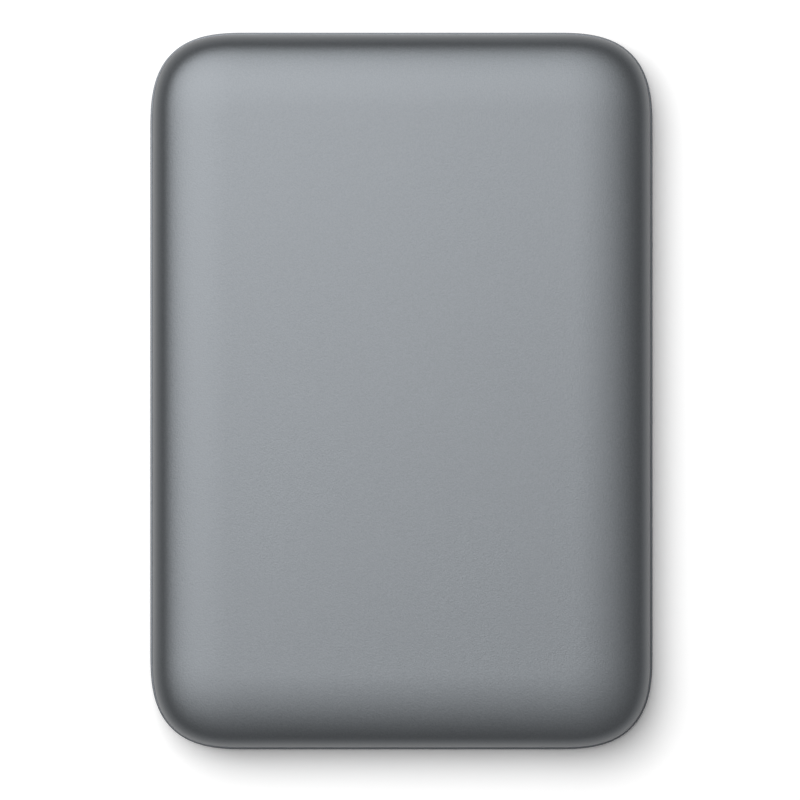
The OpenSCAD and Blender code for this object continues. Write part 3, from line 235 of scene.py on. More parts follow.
def points_at(x, y, z):
    """Points as rows (x, y, z), each a number or an array."""
    return np.stack(np.broadcast_arrays(x, y, z), axis=-1)


def outline(half_width, half_length, reach, power):
    """Rounded rectangles as an array (rows, points, 2), counterclockwise from above.

    Each corner is a quarter of a superellipse: it starts where the side ends, and for an
    angle t from 0 to 90 degrees it lies reach * (1 - cos(t) ** (2 / power)) in from one side
    and reach * (1 - sin(t) ** (2 / power)) in from the other. Between corners the sides are
    straight. Every point is a * half size + b * reach, so all rows are worked out at once.
    """
    t = np.linspace(0, pi / 2, CORNER_STEPS + 1)
    near = 1 - np.cos(t).clip(0) ** (2 / power)
    far = 1 - np.sin(t).clip(0) ** (2 / power)
    u = 1 - 2 * np.arange(1, SIDE_STEPS) / SIDE_STEPS
    one, flat = np.ones_like(t), np.ones_like(u)
    a = np.concatenate([one, u, -one, -flat, -one, -u, one, flat])
    b = np.concatenate([-near, -u, far, 0 * u, near, u, -far, 0 * u])
    c = np.concatenate([one, flat, one, u, -one, -flat, -one, -u])
    d = np.concatenate([-far, 0 * u, -near, -u, far, 0 * u, near, u])
    x = np.outer(half_width, a) + np.outer(reach, b)
    y = np.outer(half_length, c) + np.outer(reach, d)
    return np.stack([x, y], axis=-1)


def rounding(width, height, power):
    """Steps in from the side and up to the top of a superellipse's quarter, ROUND_STEPS + 1 of
    them: in = width * (1 - cos(t) ** (2 / power)), up = height * sin(t) ** (2 / power)."""
    t = np.linspace(0, pi / 2, ROUND_STEPS + 1)
    inward = width * (1 - np.cos(t).clip(0) ** (2 / power))
    upward = height * np.sin(t).clip(0) ** (2 / power)
    return inward, upward


def crown_section(width, height, shoulder, wall_curve, crown_curve):
    """Steps in from the cover's side and up to its top, along a curve that turns from upright
    to level. Its radius of curvature at a turn u from 0 to 1 is
    shoulder + wall_curve * (1 - u) ** WALL_FADE + crown_curve * u ** CROWN_FADE, the steps are
    the running sums of that radius times the cosine and sine of the tilt, and both are
    stretched to fit."""
    u = np.linspace(0, 1, 3 * ROUND_STEPS + 1)
    tilt = pi / 2 * (1 - u)
    radius = shoulder + wall_curve * (1 - u) ** WALL_FADE + crown_curve * u**CROWN_FADE
    inward = np.concatenate([[0], np.cumsum(radius * np.cos(tilt))[1:]])
    upward = np.concatenate([[0], np.cumsum(radius * np.sin(tilt))[1:]])
    return inward / inward[-1] * width, upward / upward[-1] * height


def loft(rings, closed_ends=True):
    """Vertices and faces of a skin carried over rings, an array (rows, points, 3). Quad (j, i)
    joins points i and i + 1 of rows j and j + 1, and the first and last rows are closed."""
    rows, count = rings.shape[:2]
    index = np.arange(rows * count).reshape(rows, count)
    after = np.roll(index, -1, axis=1)
    quads = np.stack([index[:-1], index[1:], after[1:], after[:-1]], axis=-1).reshape(-1, 4)
    faces = quads.tolist()
    if closed_ends:
        faces += [index[0].tolist(), index[-1][::-1].tolist()]
    return rings.reshape(-1, 3), faces


def shell(sizes, rows):
    """A case half: its section, rows of (inset from the tray's side, height, corner reach),
    carried round the rounded rectangle that each row's inset and reach give."""
    inset, height, reach = np.array(rows).T
    half_width, half_length = sizes.width / 2 - inset, sizes.length / 2 - inset
    plan = outline(half_width, half_length, reach.clip(LEAST_REACH), sizes.corner_power)
    level = np.broadcast_to(height[:, None, None], plan.shape[:2] + (1,))
    return loft(np.concatenate([plan, level], axis=-1))


def turned(profile, centre, steps):
    """A turned solid: profile rows of (radius, height), carried round the upright axis at
    centre. A point at turn t is centre + (radius * cos(t), radius * sin(t), height)."""
    radius, height = np.array(profile).T[..., None]
    cos, sin = circle(steps).T
    return loft(points_at(centre[0] + radius * cos, centre[1] + radius * sin, centre[2] + height))


def along_y(points, levels):
    """Rings of a prism along the case: outline points (x, z) for each place (y), as rows."""
    rows = np.array(points)
    y = np.broadcast_to(np.array(levels)[:, None, None], rows.shape[:2] + (1,))
    return np.concatenate([rows[..., :1], y, rows[..., 1:]], axis=-1)


def bars(lows, highs, bevel):
    """Blocks between corners lows and highs, arrays (count, 3), each an eight-sided prism with
    eight corners above and eight below: the upright edges are cut by bevel, and all blocks are
    worked out at once."""
    lows, highs = np.atleast_2d(lows), np.atleast_2d(highs)
    pick = np.array([[1, 0], [1, 1], [1, 1], [0, 1], [0, 1], [0, 0], [0, 0], [1, 0]])
    cut = np.array([[0, 1], [0, -1], [-1, 0], [1, 0], [0, -1], [0, 1], [1, 0], [-1, 0]]) * bevel
    plan = np.where(pick[None] > 0, highs[:, None, :2], lows[:, None, :2]) + cut[None]
    top = np.concatenate([plan, np.repeat(highs[:, None, 2:], 8, axis=1)], axis=-1)
    low = np.concatenate([plan, np.repeat(lows[:, None, 2:], 8, axis=1)], axis=-1)
    corners = np.concatenate([top, low], axis=1).reshape(-1, 3)
    i = np.arange(8)
    sides = np.stack([i, i + 8, np.roll(i, -1) + 8, np.roll(i, -1)], axis=-1)
    start = 16 * np.arange(len(lows))[:, None]
    faces = (start[:, None] + sides[None]).reshape(-1, 4).tolist()
    faces += (start + i).tolist() + (start + 15 - i).tolist()
    return corners, faces


def joined(*forms):
    """Several (vertices, faces) forms as one."""
    start, vertices, faces = 0, [], []
    for points, polygons in forms:
        vertices.append(points)
        faces += [[v + start for v in polygon] for polygon in polygons]
        start += len(points)
    return np.concatenate(vertices), faces


def piece(name, form, material):
    """An object of the form at the origin."""
    mesh = bpy.data.meshes.new(name)
    mesh.from_pydata(form[0].tolist(), [], form[1])
    mesh.validate()
    item = bpy.data.objects.new(name, mesh)
    bpy.context.scene.collection.objects.link(item)
    finish_mesh(mesh, material)
    return item


def finish_mesh(mesh, material):
    """Smooth shading where faces meet at less than SMOOTH_ANGLE, and one material."""
    mesh.shade_smooth()
    mesh.set_sharp_from_angle(angle=radians(SMOOTH_ANGLE))
    mesh.materials.clear()
    if material:
        mesh.materials.append(material)


def cut_through(item, cutter):
    """Cuts the cutter's form out of the item's mesh for good, and removes the cutter."""
    tool = piece(item.name + ".cutter", cutter, None)
    modifier = item.modifiers.new("Cut", "BOOLEAN")
    modifier.operation = "DIFFERENCE"
    modifier.solver = "EXACT"
    modifier.object = tool
    graph = bpy.context.evaluated_depsgraph_get()
    made = bpy.data.meshes.new_from_object(item.evaluated_get(graph), depsgraph=graph)
    item.modifiers.clear()
    old, material = item.data, item.data.materials[0]
    item.data = made
    made.name = item.name
    bpy.data.meshes.remove(old)
    bpy.data.objects.remove(tool)
    if not made.polygons:
        raise RuntimeError(f"{item.name} lost its faces in the cut")
    finish_mesh(made, material)


# Shared shader groups


def effect(name, inputs):
    """A new shader group and its input sockets by name: a Position, and the inputs with their
    defaults, each a number or a colour. Its outputs are Colour, Roughness and Height."""
    group = bpy.data.node_groups.new(name, "ShaderNodeTree")
    add = group.interface.new_socket
    add(name="Position", in_out="INPUT", socket_type="NodeSocketVector")
    for socket, default in inputs.items():
        kind = "NodeSocketFloat" if isinstance(default, float) else "NodeSocketColor"
        add(name=socket, in_out="INPUT", socket_type=kind).default_value = default
    add(name="Colour", in_out="OUTPUT", socket_type="NodeSocketColor")
    add(name="Roughness", in_out="OUTPUT", socket_type="NodeSocketFloat")
    add(name="Height", in_out="OUTPUT", socket_type="NodeSocketFloat")
    return group, group.nodes.new("NodeGroupInput").outputs


def give(group, colour, roughness, height):
    """Ends a shader group: its outputs take the three sockets."""
    out = group.nodes.new("NodeGroupOutput").inputs
    group.links.new(colour, out["Colour"])
    group.links.new(roughness, out["Roughness"])
    group.links.new(height, out["Height"])
    return group


def feed(tree, socket, term):
    """Sets a node's input to a number, or links a socket to it."""
    if isinstance(term, (int, float)):
        socket.default_value = term
    else:
        tree.links.new(term, socket)


def calc(tree, *terms, operation="MULTIPLY_ADD"):
    """A Math node whose inputs are the terms, each a socket or a number. As it stands it
    multiplies the first two and adds the third."""
    node = tree.nodes.new("ShaderNodeMath")
    node.operation = operation
    for socket, term in zip(node.inputs, terms):
        feed(tree, socket, term)
    return node.outputs[0]


def noise(tree, position, scale, detail, rough, dimensions="3D"):
    """Noise from 0 to 1 at a scale, a socket or a number of features a metre."""
    node = tree.nodes.new("ShaderNodeTexNoise")
    node.noise_dimensions = dimensions
    node.inputs["Detail"].default_value = detail
    node.inputs["Roughness"].default_value = rough
    feed(tree, node.inputs["Scale"], scale)
    tree.links.new(position, node.inputs["W" if dimensions == "1D" else "Vector"])
    return node.outputs[0]


def lightened(tree, colour, amount):
    """A colour made lighter or darker: its value times a socket."""
    node = tree.nodes.new("ShaderNodeHueSaturation")
    tree.links.new(colour, node.inputs["Color"])
    tree.links.new(amount, node.inputs["Value"])
    return node.outputs["Color"]


def scaled(tree, vector, factors):
    """A vector times three factors."""
    node = tree.nodes.new("ShaderNodeVectorMath")
    node.operation = "MULTIPLY"
    node.inputs[1].default_value = factors
    tree.links.new(vector, node.inputs[0])
    return node.outputs[0]


def make_moulded_grain():
    """Fine pebbled grain with broad, faint mottling, for plastics, rubber and castings."""
    inputs = {"Colour": (0.5, 0.5, 0.5, 1), "Grain size": 0.0003, "Speckle": 0.03, "Mottle": 0.03}
    inputs.update({"Roughness": 0.5, "Roughness spread": 0.1})
    group, given = effect("Moulded grain", inputs)
    per_metre = calc(group, 1.0, given["Grain size"], operation="DIVIDE")
    fine = noise(group, given["Position"], per_metre, detail=3, rough=0.6)
    broad = noise(group, given["Position"], 42.0, detail=2, rough=0.5)
    fine_away = calc(group, fine, -0.5, operation="ADD")
    broad_away = calc(group, broad, -0.5, operation="ADD")
    value = calc(group, fine_away, given["Speckle"], 1.0)
    value = calc(group, broad_away, given["Mottle"], value)
    rough = calc(group, fine_away, given["Roughness spread"], given["Roughness"])
    return give(group, lightened(group, given["Colour"], value), rough, fine)


def make_brushed_sheet():
    """Long, fine scratches along Y, for stamped and brushed sheet metal."""
    grey = (0.6, 0.6, 0.6, 1)
    inputs = {"Colour": grey, "Line size": 0.00012, "Contrast": 0.1, "Roughness": 0.35}
    group, given = effect("Brushed sheet", inputs)
    stretched = scaled(group, given["Position"], (1, 0.03, 1))
    per_metre = calc(group, 1.0, given["Line size"], operation="DIVIDE")
    lines = noise(group, stretched, per_metre, detail=2, rough=0.6)
    clouds = noise(group, given["Position"], 120.0, detail=3, rough=0.55)
    away = calc(group, calc(group, clouds, 0.6, lines), -0.8, operation="ADD")
    value = calc(group, away, given["Contrast"], 1.0)
    rough = calc(group, away, 0.14, given["Roughness"])
    return give(group, lightened(group, given["Colour"], value), rough, lines)


def make_turned_rings():
    """Rings about the upright axis through the position's zero, for turned and wound parts."""
    grey = (0.6, 0.6, 0.6, 1)
    inputs = {"Colour": grey, "Ring pitch": 0.0002, "Contrast": 0.1, "Roughness": 0.3}
    group, given = effect("Turned rings", inputs)
    radius = group.nodes.new("ShaderNodeVectorMath")
    radius.operation = "LENGTH"
    group.links.new(scaled(group, given["Position"], (1, 1, 0)), radius.inputs[0])
    count = calc(group, radius.outputs["Value"], given["Ring pitch"], operation="DIVIDE")
    rings = noise(group, count, 1.0, detail=2, rough=0.5, dimensions="1D")
    wave = calc(group, calc(group, count, 2 * pi, operation="MULTIPLY"), operation="SINE")
    ridge = calc(group, wave, 0.25, rings)
    away = calc(group, ridge, -0.5, operation="ADD")
    value = calc(group, away, given["Contrast"], 1.0)
    rough = calc(group, away, 0.12, given["Roughness"])
    return give(group, lightened(group, given["Colour"], value), rough, ridge)


def make_board_mask():
    """Solder mask over copper: a woven ground, straight traces and gold-rimmed holes."""
    inputs = {
        "Colour": (0.02, 0.1, 0.05, 1),
        "Pad colour": (0.75, 0.5, 0.18, 1),
        "Trace size": 0.0011,
        "Roughness": 0.4,
    }
    group, given = effect("Board mask", inputs)
    per_metre = calc(group, 1.0, given["Trace size"], operation="DIVIDE")
    link = group.links.new
    brick = group.nodes.new("ShaderNodeTexBrick")
    black, white = (0, 0, 0, 1), (1, 1, 1, 1)
    settings = {"Color1": black, "Color2": black, "Mortar": white}
    settings.update({"Mortar Size": 0.06, "Mortar Smooth": 0.2})
    for socket, value in settings.items():
        brick.inputs[socket].default_value = value
    link(given["Position"], brick.inputs["Vector"])
    link(per_metre, brick.inputs["Scale"])
    traces = brick.outputs["Fac"]
    weave = noise(group, given["Position"], 2600.0, detail=1, rough=0.5)
    value = calc(group, traces, 0.7, calc(group, weave, 0.3, 0.82))
    ground = lightened(group, given["Colour"], value)
    cells = group.nodes.new("ShaderNodeTexVoronoi")
    cells.voronoi_dimensions = "2D"
    cells.inputs["Randomness"].default_value = 0.7
    link(given["Position"], cells.inputs["Vector"])
    cell_scale = calc(group, per_metre, 0.4, operation="MULTIPLY")
    link(cell_scale, cells.inputs["Scale"])
    hole = calc(group, cells.outputs["Distance"], 0.11, operation="LESS_THAN")
    mix = group.nodes.new("ShaderNodeMix")
    mix.data_type = "RGBA"
    link(hole, mix.inputs[0])
    link(ground, mix.inputs[6])
    link(given["Pad colour"], mix.inputs[7])
    rough = calc(group, weave, 0.12, given["Roughness"])
    height = calc(group, traces, 0.6, calc(group, weave, 0.15, hole))
    return give(group, mix.outputs[2], rough, height)


# Materials, each under the name of its finish

MATERIALS = {}


def surface(name, group, values, bump, centre=None, **sockets):
    """Adds a material that feeds one Principled shader from a shared group. The sockets given
    last are set on the shader itself, and centre moves the pattern's zero to a point."""
    material = bpy.data.materials.new(name)
    material.use_nodes = True
    tree, link = material.node_tree, material.node_tree.links.new
    shader = tree.nodes["Principled BSDF"]
    place = tree.nodes.new("ShaderNodeTexCoord")
    position = place.outputs["Object"]
    if centre is not None:
        move = tree.nodes.new("ShaderNodeMapping")
        move.inputs["Location"].default_value = (-centre[0], -centre[1], -centre[2])
        link(position, move.inputs["Vector"])
        position = move.outputs["Vector"]
    pattern = tree.nodes.new("ShaderNodeGroup")
    pattern.node_tree = group
    link(position, pattern.inputs["Position"])
    for socket, value in values.items():
        if not isinstance(value, (int, float)):
            value = tuple(value)[:3] + (1,)
        pattern.inputs[socket].default_value = value
    link(pattern.outputs["Colour"], shader.inputs["Base Color"])
    link(pattern.outputs["Roughness"], shader.inputs["Roughness"])
    relief = tree.nodes.new("ShaderNodeBump")
    relief.inputs["Strength"].default_value = 1
    relief.inputs["Distance"].default_value = bump
    link(pattern.outputs["Height"], relief.inputs["Height"])
    link(relief.outputs["Normal"], shader.inputs["Normal"])
    for socket, value in sockets.items():
        shader.inputs[socket.replace("_", " ")].default_value = value
    MATERIALS[name] = material


def make_materials(colours):
    """Adds the material of every finish."""
    grain, sheet = make_moulded_grain(), make_brushed_sheet()
    rings, mask = make_turned_rings(), make_board_mask()
    spindle = (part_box("spindle_shaft")[0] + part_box("spindle_shaft")[1]) / 2
    pivot = (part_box("pivot_shaft")[0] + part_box("pivot_shaft")[1]) / 2

    def moulded(name, colour, size, rough, bump, speckle=0.04, mottle=0.03, **more):
        values = {"Colour": colour, "Grain size": size * MM, "Roughness": rough}
        values.update({"Speckle": speckle, "Mottle": mottle})
        surface(name, grain, values, bump * MM, **more)

    def brushed(name, colour, size, rough):
        values = {"Colour": colour, "Line size": size * MM, "Roughness": rough, "Contrast": 0.14}
        surface(name, sheet, values, 0.002 * MM, Metallic=1.0)

    def lathed(name, colour, pitch, rough, centre, bump=0.002, contrast=0.1):
        values = {"Colour": colour, "Ring pitch": pitch * MM, "Roughness": rough, "Contrast": contrast}
        surface(name, rings, values, bump * MM, centre, Metallic=1.0)

    # After each colour come its pattern's size in millimetres and its roughness
    board = {"Colour": colours.board, "Pad colour": shown(214, 178, 96), "Trace size": 1.1 * MM}
    glass = {"Transmission_Weight": 0.55, "IOR": 1.49}
    moulded("cover_plastic", colours.cover, colours.grain / MM, 0.45, 0.02, 0.45, 0.02, Metallic=0.95)
    moulded("tray_plastic", colours.tray, colours.grain / MM, 0.46, 0.02, 0.4, Metallic=0.95)
    moulded("foot_rubber", colours.rubber, 0.18, 0.75, 0.02)
    moulded("pad_rubber", colours.rubber, 0.5, 0.8, 0.03, 0.1)
    surface("circuit_board", mask, board, 0.01 * MM)
    moulded("chip_plastic", shown(34, 34, 36), 0.12, 0.55, 0.006)
    brushed("tinned_steel", shown(196, 196, 192), 0.1, 0.3)
    moulded("connector_plastic", shown(30, 31, 33), 0.2, 0.45, 0.004)
    moulded("led_body", shown(238, 234, 214), 0.3, 0.35, 0.002)
    moulded("clear_plastic", shown(232, 238, 240), 0.6, 0.12, 0.002, 0.02, 0.02, **glass)
    moulded("cast_alloy", shown(176, 178, 180), 0.35, 0.48, 0.02, 0.14, 0.08, Metallic=0.9)
    brushed("lid_steel", shown(190, 192, 194), 0.14, 0.34)
    moulded("gasket_rubber", shown(26, 27, 28), 0.25, 0.85, 0.02, 0.12)
    moulded("dark_screws", shown(62, 62, 66), 0.3, 0.36, 0.004, Metallic=0.85)
    lathed("bronze", shown(190, 140, 84), 0.25, 0.36, spindle)
    lathed("polished_steel", shown(206, 208, 210), 0.2, 0.16, pivot)
    lathed("turned_alloy", shown(204, 206, 208), 0.24, 0.3, spindle)
    brushed("core_steel", shown(140, 142, 146), 0.1, 0.45)
    lathed("copper_wire", shown(196, 108, 60), 0.13, 0.34, pivot, 0.04, 0.5)
    moulded("magnet", shown(150, 150, 154), 0.6, 0.32, 0.004, Metallic=0.9)
    lathed("mirror_disc", shown(222, 222, 220), 0.6, 0.06, spindle, 0.0001, 0.02)
    moulded("slider_ceramic", shown(58, 54, 56), 0.2, 0.3, 0.002)
    moulded("ramp_plastic", shown(224, 214, 190), 0.3, 0.5, 0.004)
    moulded("filter_felt", shown(232, 232, 228), 0.16, 0.95, 0.06, 0.12)
    moulded("flex_film", shown(186, 118, 38), 0.5, 0.28, 0.004, 0.06, 0.1, Coat_Weight=0.3)


# Which finish each imported node takes

NODE_FINISH = {
    "pad_rubber": ("pad_front_left", "pad_front_right", "pad_rear_left", "pad_rear_right"),
    "circuit_board": ("bridge_board", "drive_board"),
    "chip_plastic": ("bridge_chip", "flash_chip", "voltage_regulator")
    + ("controller_chip", "motor_driver_chip", "memory_chip"),
    "tinned_steel": ("crystal", "usb_shell"),
    "connector_plastic": ("sata_socket", "sata_plug", "usb_tongue"),
    "led_body": ("status_led",),
    "cast_alloy": ("drive_base",),
    "lid_steel": ("drive_lid", "lower_yoke", "upper_yoke"),
    "gasket_rubber": ("lid_gasket",),
    "dark_screws": ("lid_screws", "board_screws", "clamp_screws"),
    "bronze": ("spindle_sleeve",),
    "polished_steel": ("spindle_shaft", "pivot_shaft", "pivot_bearings", "suspensions"),
    "turned_alloy": ("spindle_hub", "disc_spacer", "disc_clamp", "head_arm", "pivot_cartridge"),
    "core_steel": ("stator_core",),
    "copper_wire": ("stator_coils", "voice_coil"),
    "magnet": ("rotor_magnet", "lower_magnet", "upper_magnet"),
    "mirror_disc": ("lower_disc", "upper_disc"),
    "slider_ceramic": ("slider_heads",),
    "ramp_plastic": ("load_ramp", "crash_stop"),
    "filter_felt": ("air_filter", "breather_filter"),
    "flex_film": ("flex_bracket", "flex_ribbon"),
}


def place(item, slot, *nodes, body="root"):
    """Rides the piece on its body and hides the nodes that it stands for. The slot is not used."""
    if nodes:
        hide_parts(*nodes)
    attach(item, body)


def end_openings(sizes, fittings):
    """Cutters for the socket and the light pipe through the cover's end wall, each a prism
    along the case that flares at 45 degrees. Four fifths of the flare lie inside the wall."""
    wall_y = sizes.length / 2 - sizes.seam_step
    flare = 2 * fittings.chamfer
    start = wall_y - 0.8 * flare
    places = [wall_y - 2 * sizes.wall, start, start + flare, wall_y + PAST]
    grown = [0, 0, flare, flare]
    mouth = [socket_outline(fittings, fittings.opening + g) for g in grown]
    middle = np.array([fittings.light_x, fittings.socket_z])
    radius = fittings.light / 2 + fittings.clear
    hole = [middle + circle(LIGHT_STEPS) * (radius + g) for g in grown]
    return loft(along_y(mouth, places)), loft(along_y(hole, places))


def socket_outline(fittings, grow):
    """The socket's six-sided mouth grown by a distance, with rounded corners: each corner is
    the curve (1 - t) ** 2 * before + 2 * t * (1 - t) * corner + t ** 2 * after."""
    half = fittings.socket_width / 2 + grow
    high = fittings.socket_height / 2 + grow
    bevel = fittings.socket_bevel + grow / 2
    left = [[-half, high], [-half, bevel - high], [bevel - half, -high]]
    corners = np.array(left + [[-x, z] for x, z in reversed(left)])
    back = np.roll(corners, 1, axis=0) - corners
    ahead = np.roll(corners, -1, axis=0) - corners
    reach = fittings.socket_round
    before = corners + reach * back / np.linalg.norm(back, axis=1, keepdims=True)
    after = corners + reach * ahead / np.linalg.norm(ahead, axis=1, keepdims=True)
    t = np.linspace(0, 1, 6)[None, :, None]
    curve = (1 - t) ** 2 * before[:, None] + 2 * t * (1 - t) * corners[:, None]
    curve = curve + t**2 * after[:, None]
    return curve.reshape(-1, 2) + [fittings.socket_x, fittings.socket_z]


# Operators


class CASE_OT_finishes(bpy.types.Operator):
    """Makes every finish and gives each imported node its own"""

    bl_idname = "harddrive.finishes"
    bl_label = "Finishes of all parts"

    def execute(self, context):
        make_materials(context.scene.drive_finish)
        for slot, nodes in NODE_FINISH.items():
            for name in nodes:
                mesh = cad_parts[name].data
                mesh.materials.clear()
                mesh.materials.append(MATERIALS[slot])
        return {"FINISHED"}


class CASE_OT_cover(bpy.types.Operator):
    """Builds the pillow-shaped top cover with its lip, ribs, catches and openings"""

    bl_idname = "harddrive.cover"
    bl_label = "Top cover"

    def execute(self, context):
        case, fittings = context.scene.drive_case, context.scene.drive_fittings
        low = case.seam + case.seam_gap
        tall = case.height - low
        curve = (case.shoulder, case.wall_curve, case.crown_curve)
        inward, upward = crown_section(case.crown_width, tall, *curve)
        side, step = case.seam_step, case.seam_round
        outside = zip(side + inward, low + upward, case.cover_corner - inward)
        outside = [row for row in outside if row[1] > low + step]
        lip_in = case.edge + case.lip_clear
        lip_low = case.seam - case.lip_depth
        lip_reach = case.tray_corner - lip_in
        thick = case.wall
        inner_in, inner_up = crown_section(case.crown_width - thick, tall - thick, *curve)
        inside = list(zip(side + thick + inner_in, low + inner_up, case.cover_corner - thick - inner_in))
        # The section runs down the outside, round the lip and up the inside
        rows = outside[::-1] + [
            (side, low + step, case.cover_corner),
            (side + ARC_MIDDLE * step, low + ARC_MIDDLE * step, case.cover_corner),
            (side + step, low, case.cover_corner),
            (lip_in, low, lip_reach),
            (lip_in, lip_low + step, lip_reach),
            (lip_in + step, lip_low, lip_reach - step),
            (lip_in + case.lip - step, lip_low, lip_reach - case.lip + step),
            (lip_in + case.lip, lip_low + step, lip_reach - case.lip),
            (lip_in + case.lip, low, lip_reach - case.lip),
        ]
        body = shell(case, rows + inside)
        item = piece("cover_shell", joined(body, *self.ribs(case)), MATERIALS["cover_plastic"])
        for cutter in end_openings(case, fittings):
            cut_through(item, cutter)
        place(item, "cover_plastic", "top_cover")
        return {"FINISHED"}

    def ribs(self, case):
        """The lattice of ribs under the crown and the snap catches on the lip, as blocks. The
        ribs' roots reach a quarter of the wall into the crown."""
        ceiling, half, bevel = case.height - case.wall, case.rib / 2, case.rib_bevel
        low, high = ceiling - case.rib_depth, ceiling + case.wall / 4
        reach, span = case.length / 2 - case.rib_inset, case.cross_reach
        x = np.arange(-1, 2) * case.rib_pitch
        yield bars(points_at(x - half, -reach, low), points_at(x + half, reach, high), bevel)
        y = np.arange(-2, 3) * case.cross_pitch
        yield bars(points_at(-span, y - half, low), points_at(span, y + half, high), bevel)
        edge, height = case.edge + case.lip_clear, case.seam - case.lip_depth / 2
        along = np.array([case.catch, case.catch_length, case.catch]) / 2
        across = along[[1, 0, 2]]
        for side in (-1, 1):
            x = side * (case.width / 2 - edge)
            at = points_at(x, np.arange(-1, 2) * case.catch_pitch, height)
            yield bars(at - along, at + along, case.catch_bevel)
            y = side * (case.length / 2 - edge)
            at = points_at(np.array([-0.5, 0.5]) * case.catch_pitch, y, height)
            yield bars(at - across, at + across, case.catch_bevel)


class CASE_OT_tray(bpy.types.Operator):
    """Builds the shallow tray with its rabbet, ribs, board posts and pockets for the feet"""

    bl_idname = "harddrive.tray"
    bl_label = "Tray"

    def execute(self, context):
        case, fittings = context.scene.drive_case, context.scene.drive_fittings
        tall = case.seam - case.tray_low
        step, thick = case.seam_round, case.wall
        ledge = case.seam - case.lip_depth - case.lip_clear
        inward, downward = rounding(case.tray_round - thick, tall - thick, case.tray_power)
        inside = zip(thick + inward, case.seam - downward, case.tray_corner - thick - inward)
        inside = [row for row in inside if row[1] < ledge]
        inward, downward = rounding(case.tray_round, tall, case.tray_power)
        outside = zip(inward, case.seam - downward, case.tray_corner - inward)
        outside = [row for row in outside if row[1] < case.seam - step]
        edge, reach = case.edge, case.tray_corner
        rim, groove_floor = case.seam_step - case.groove, case.seam - case.groove_depth
        middle = ARC_MIDDLE * step
        # The section runs up the inside, over the ledge, groove and rim, and down the outside
        rows = inside[::-1] + [
            (inside[0][0], ledge, inside[0][2]),
            (edge, ledge, reach - edge),
            (edge, groove_floor, reach - edge),
            (rim, groove_floor, case.cover_corner),
            (rim, case.seam, case.cover_corner),
            (step, case.seam, reach - step),
            (middle, case.seam - middle, reach - middle),
            (0, case.seam - step, reach),
        ]
        body = shell(case, rows + outside)
        item = piece("tray_shell", joined(body, *self.fixings(case)), MATERIALS["tray_plastic"])
        radius, top = fittings.foot / 2 + fittings.clear, fittings.foot_height
        pocket = [(POINT, top), (radius, top), (radius, -PAST), (POINT, -PAST)]
        for x, y in foot_places(case, fittings):
            cut_through(item, turned(pocket, (x, y, 0), POCKET_STEPS))
        place(item, "tray_plastic", "bottom_cover")
        return {"FINISHED"}

    def fixings(self, case):
        """The ribs on the floor as blocks, and the board's two posts as turned pins."""
        floor, root = case.tray_low + case.wall, case.root
        drive_low, drive_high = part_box("drive_base")
        half, x = case.rib / 2, np.arange(-1, 2) * case.rib_pitch
        low = points_at(x - half, drive_low.y + case.floor_inset, floor - root)
        high = points_at(x + half, drive_high.y - case.floor_inset, floor + case.floor_rib)
        yield bars(low, high, case.rib_bevel)
        board_low, board_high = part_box("bridge_board")
        top, rest = board_high.z - floor, board_low.z - floor
        pin, post, bevel = case.pin / 2, case.post / 2, case.pin_bevel
        profile = [(POINT, top), (pin - bevel, top), (pin, top - bevel), (pin, rest)]
        profile += [(post, rest), (post, -root), (POINT, -root)]
        y = (board_low.y + board_high.y) / 2
        for x in (board_low.x + case.post_inset, board_high.x - case.post_inset):
            yield turned(profile, (x, y, floor), PIN_STEPS)


def foot_places(case, fittings):
    """Places of the four feet, in the order front left, front right, rear left, rear right."""
    x = case.width / 2 - fittings.foot_inset
    y = case.length / 2 - fittings.foot_inset
    return [(-x, -y), (x, -y), (-x, y), (x, y)]


class CASE_OT_feet(bpy.types.Operator):
    """Builds the four rubber feet with rounded lower edges and a faintly dished sole"""

    bl_idname = "harddrive.feet"
    bl_label = "Rubber feet"

    def execute(self, context):
        case, fittings = context.scene.drive_case, context.scene.drive_fittings
        names = ("foot_front_left", "foot_front_right", "foot_rear_left", "foot_rear_right")
        radius, bend = fittings.foot / 2, fittings.foot_round
        t = np.linspace(0, pi / 2, 9)
        edge = np.stack([radius - bend * (1 - np.cos(t)), bend * (1 - np.sin(t))], axis=-1)
        # At the radius r the sole is foot_dish * (1 - (r / flat) ** 2) ** 2 deep
        flat = radius - bend
        r = np.linspace(flat, 2 * POINT, 14)[1:]
        dish = fittings.foot_dish * (1 - (r / flat) ** 2) ** 2
        sole = np.stack([r, dish], axis=-1)
        top = [(2 * POINT, fittings.foot_height), (radius, fittings.foot_height)]
        profile = np.concatenate([top, edge, sole])
        for name, (x, y) in zip(names, foot_places(case, fittings)):
            form = turned(profile, (x, y, 0), FOOT_STEPS)
            item = piece(name + "_rubber", form, MATERIALS["foot_rubber"])
            place(item, "foot_rubber", name)
        return {"FINISHED"}


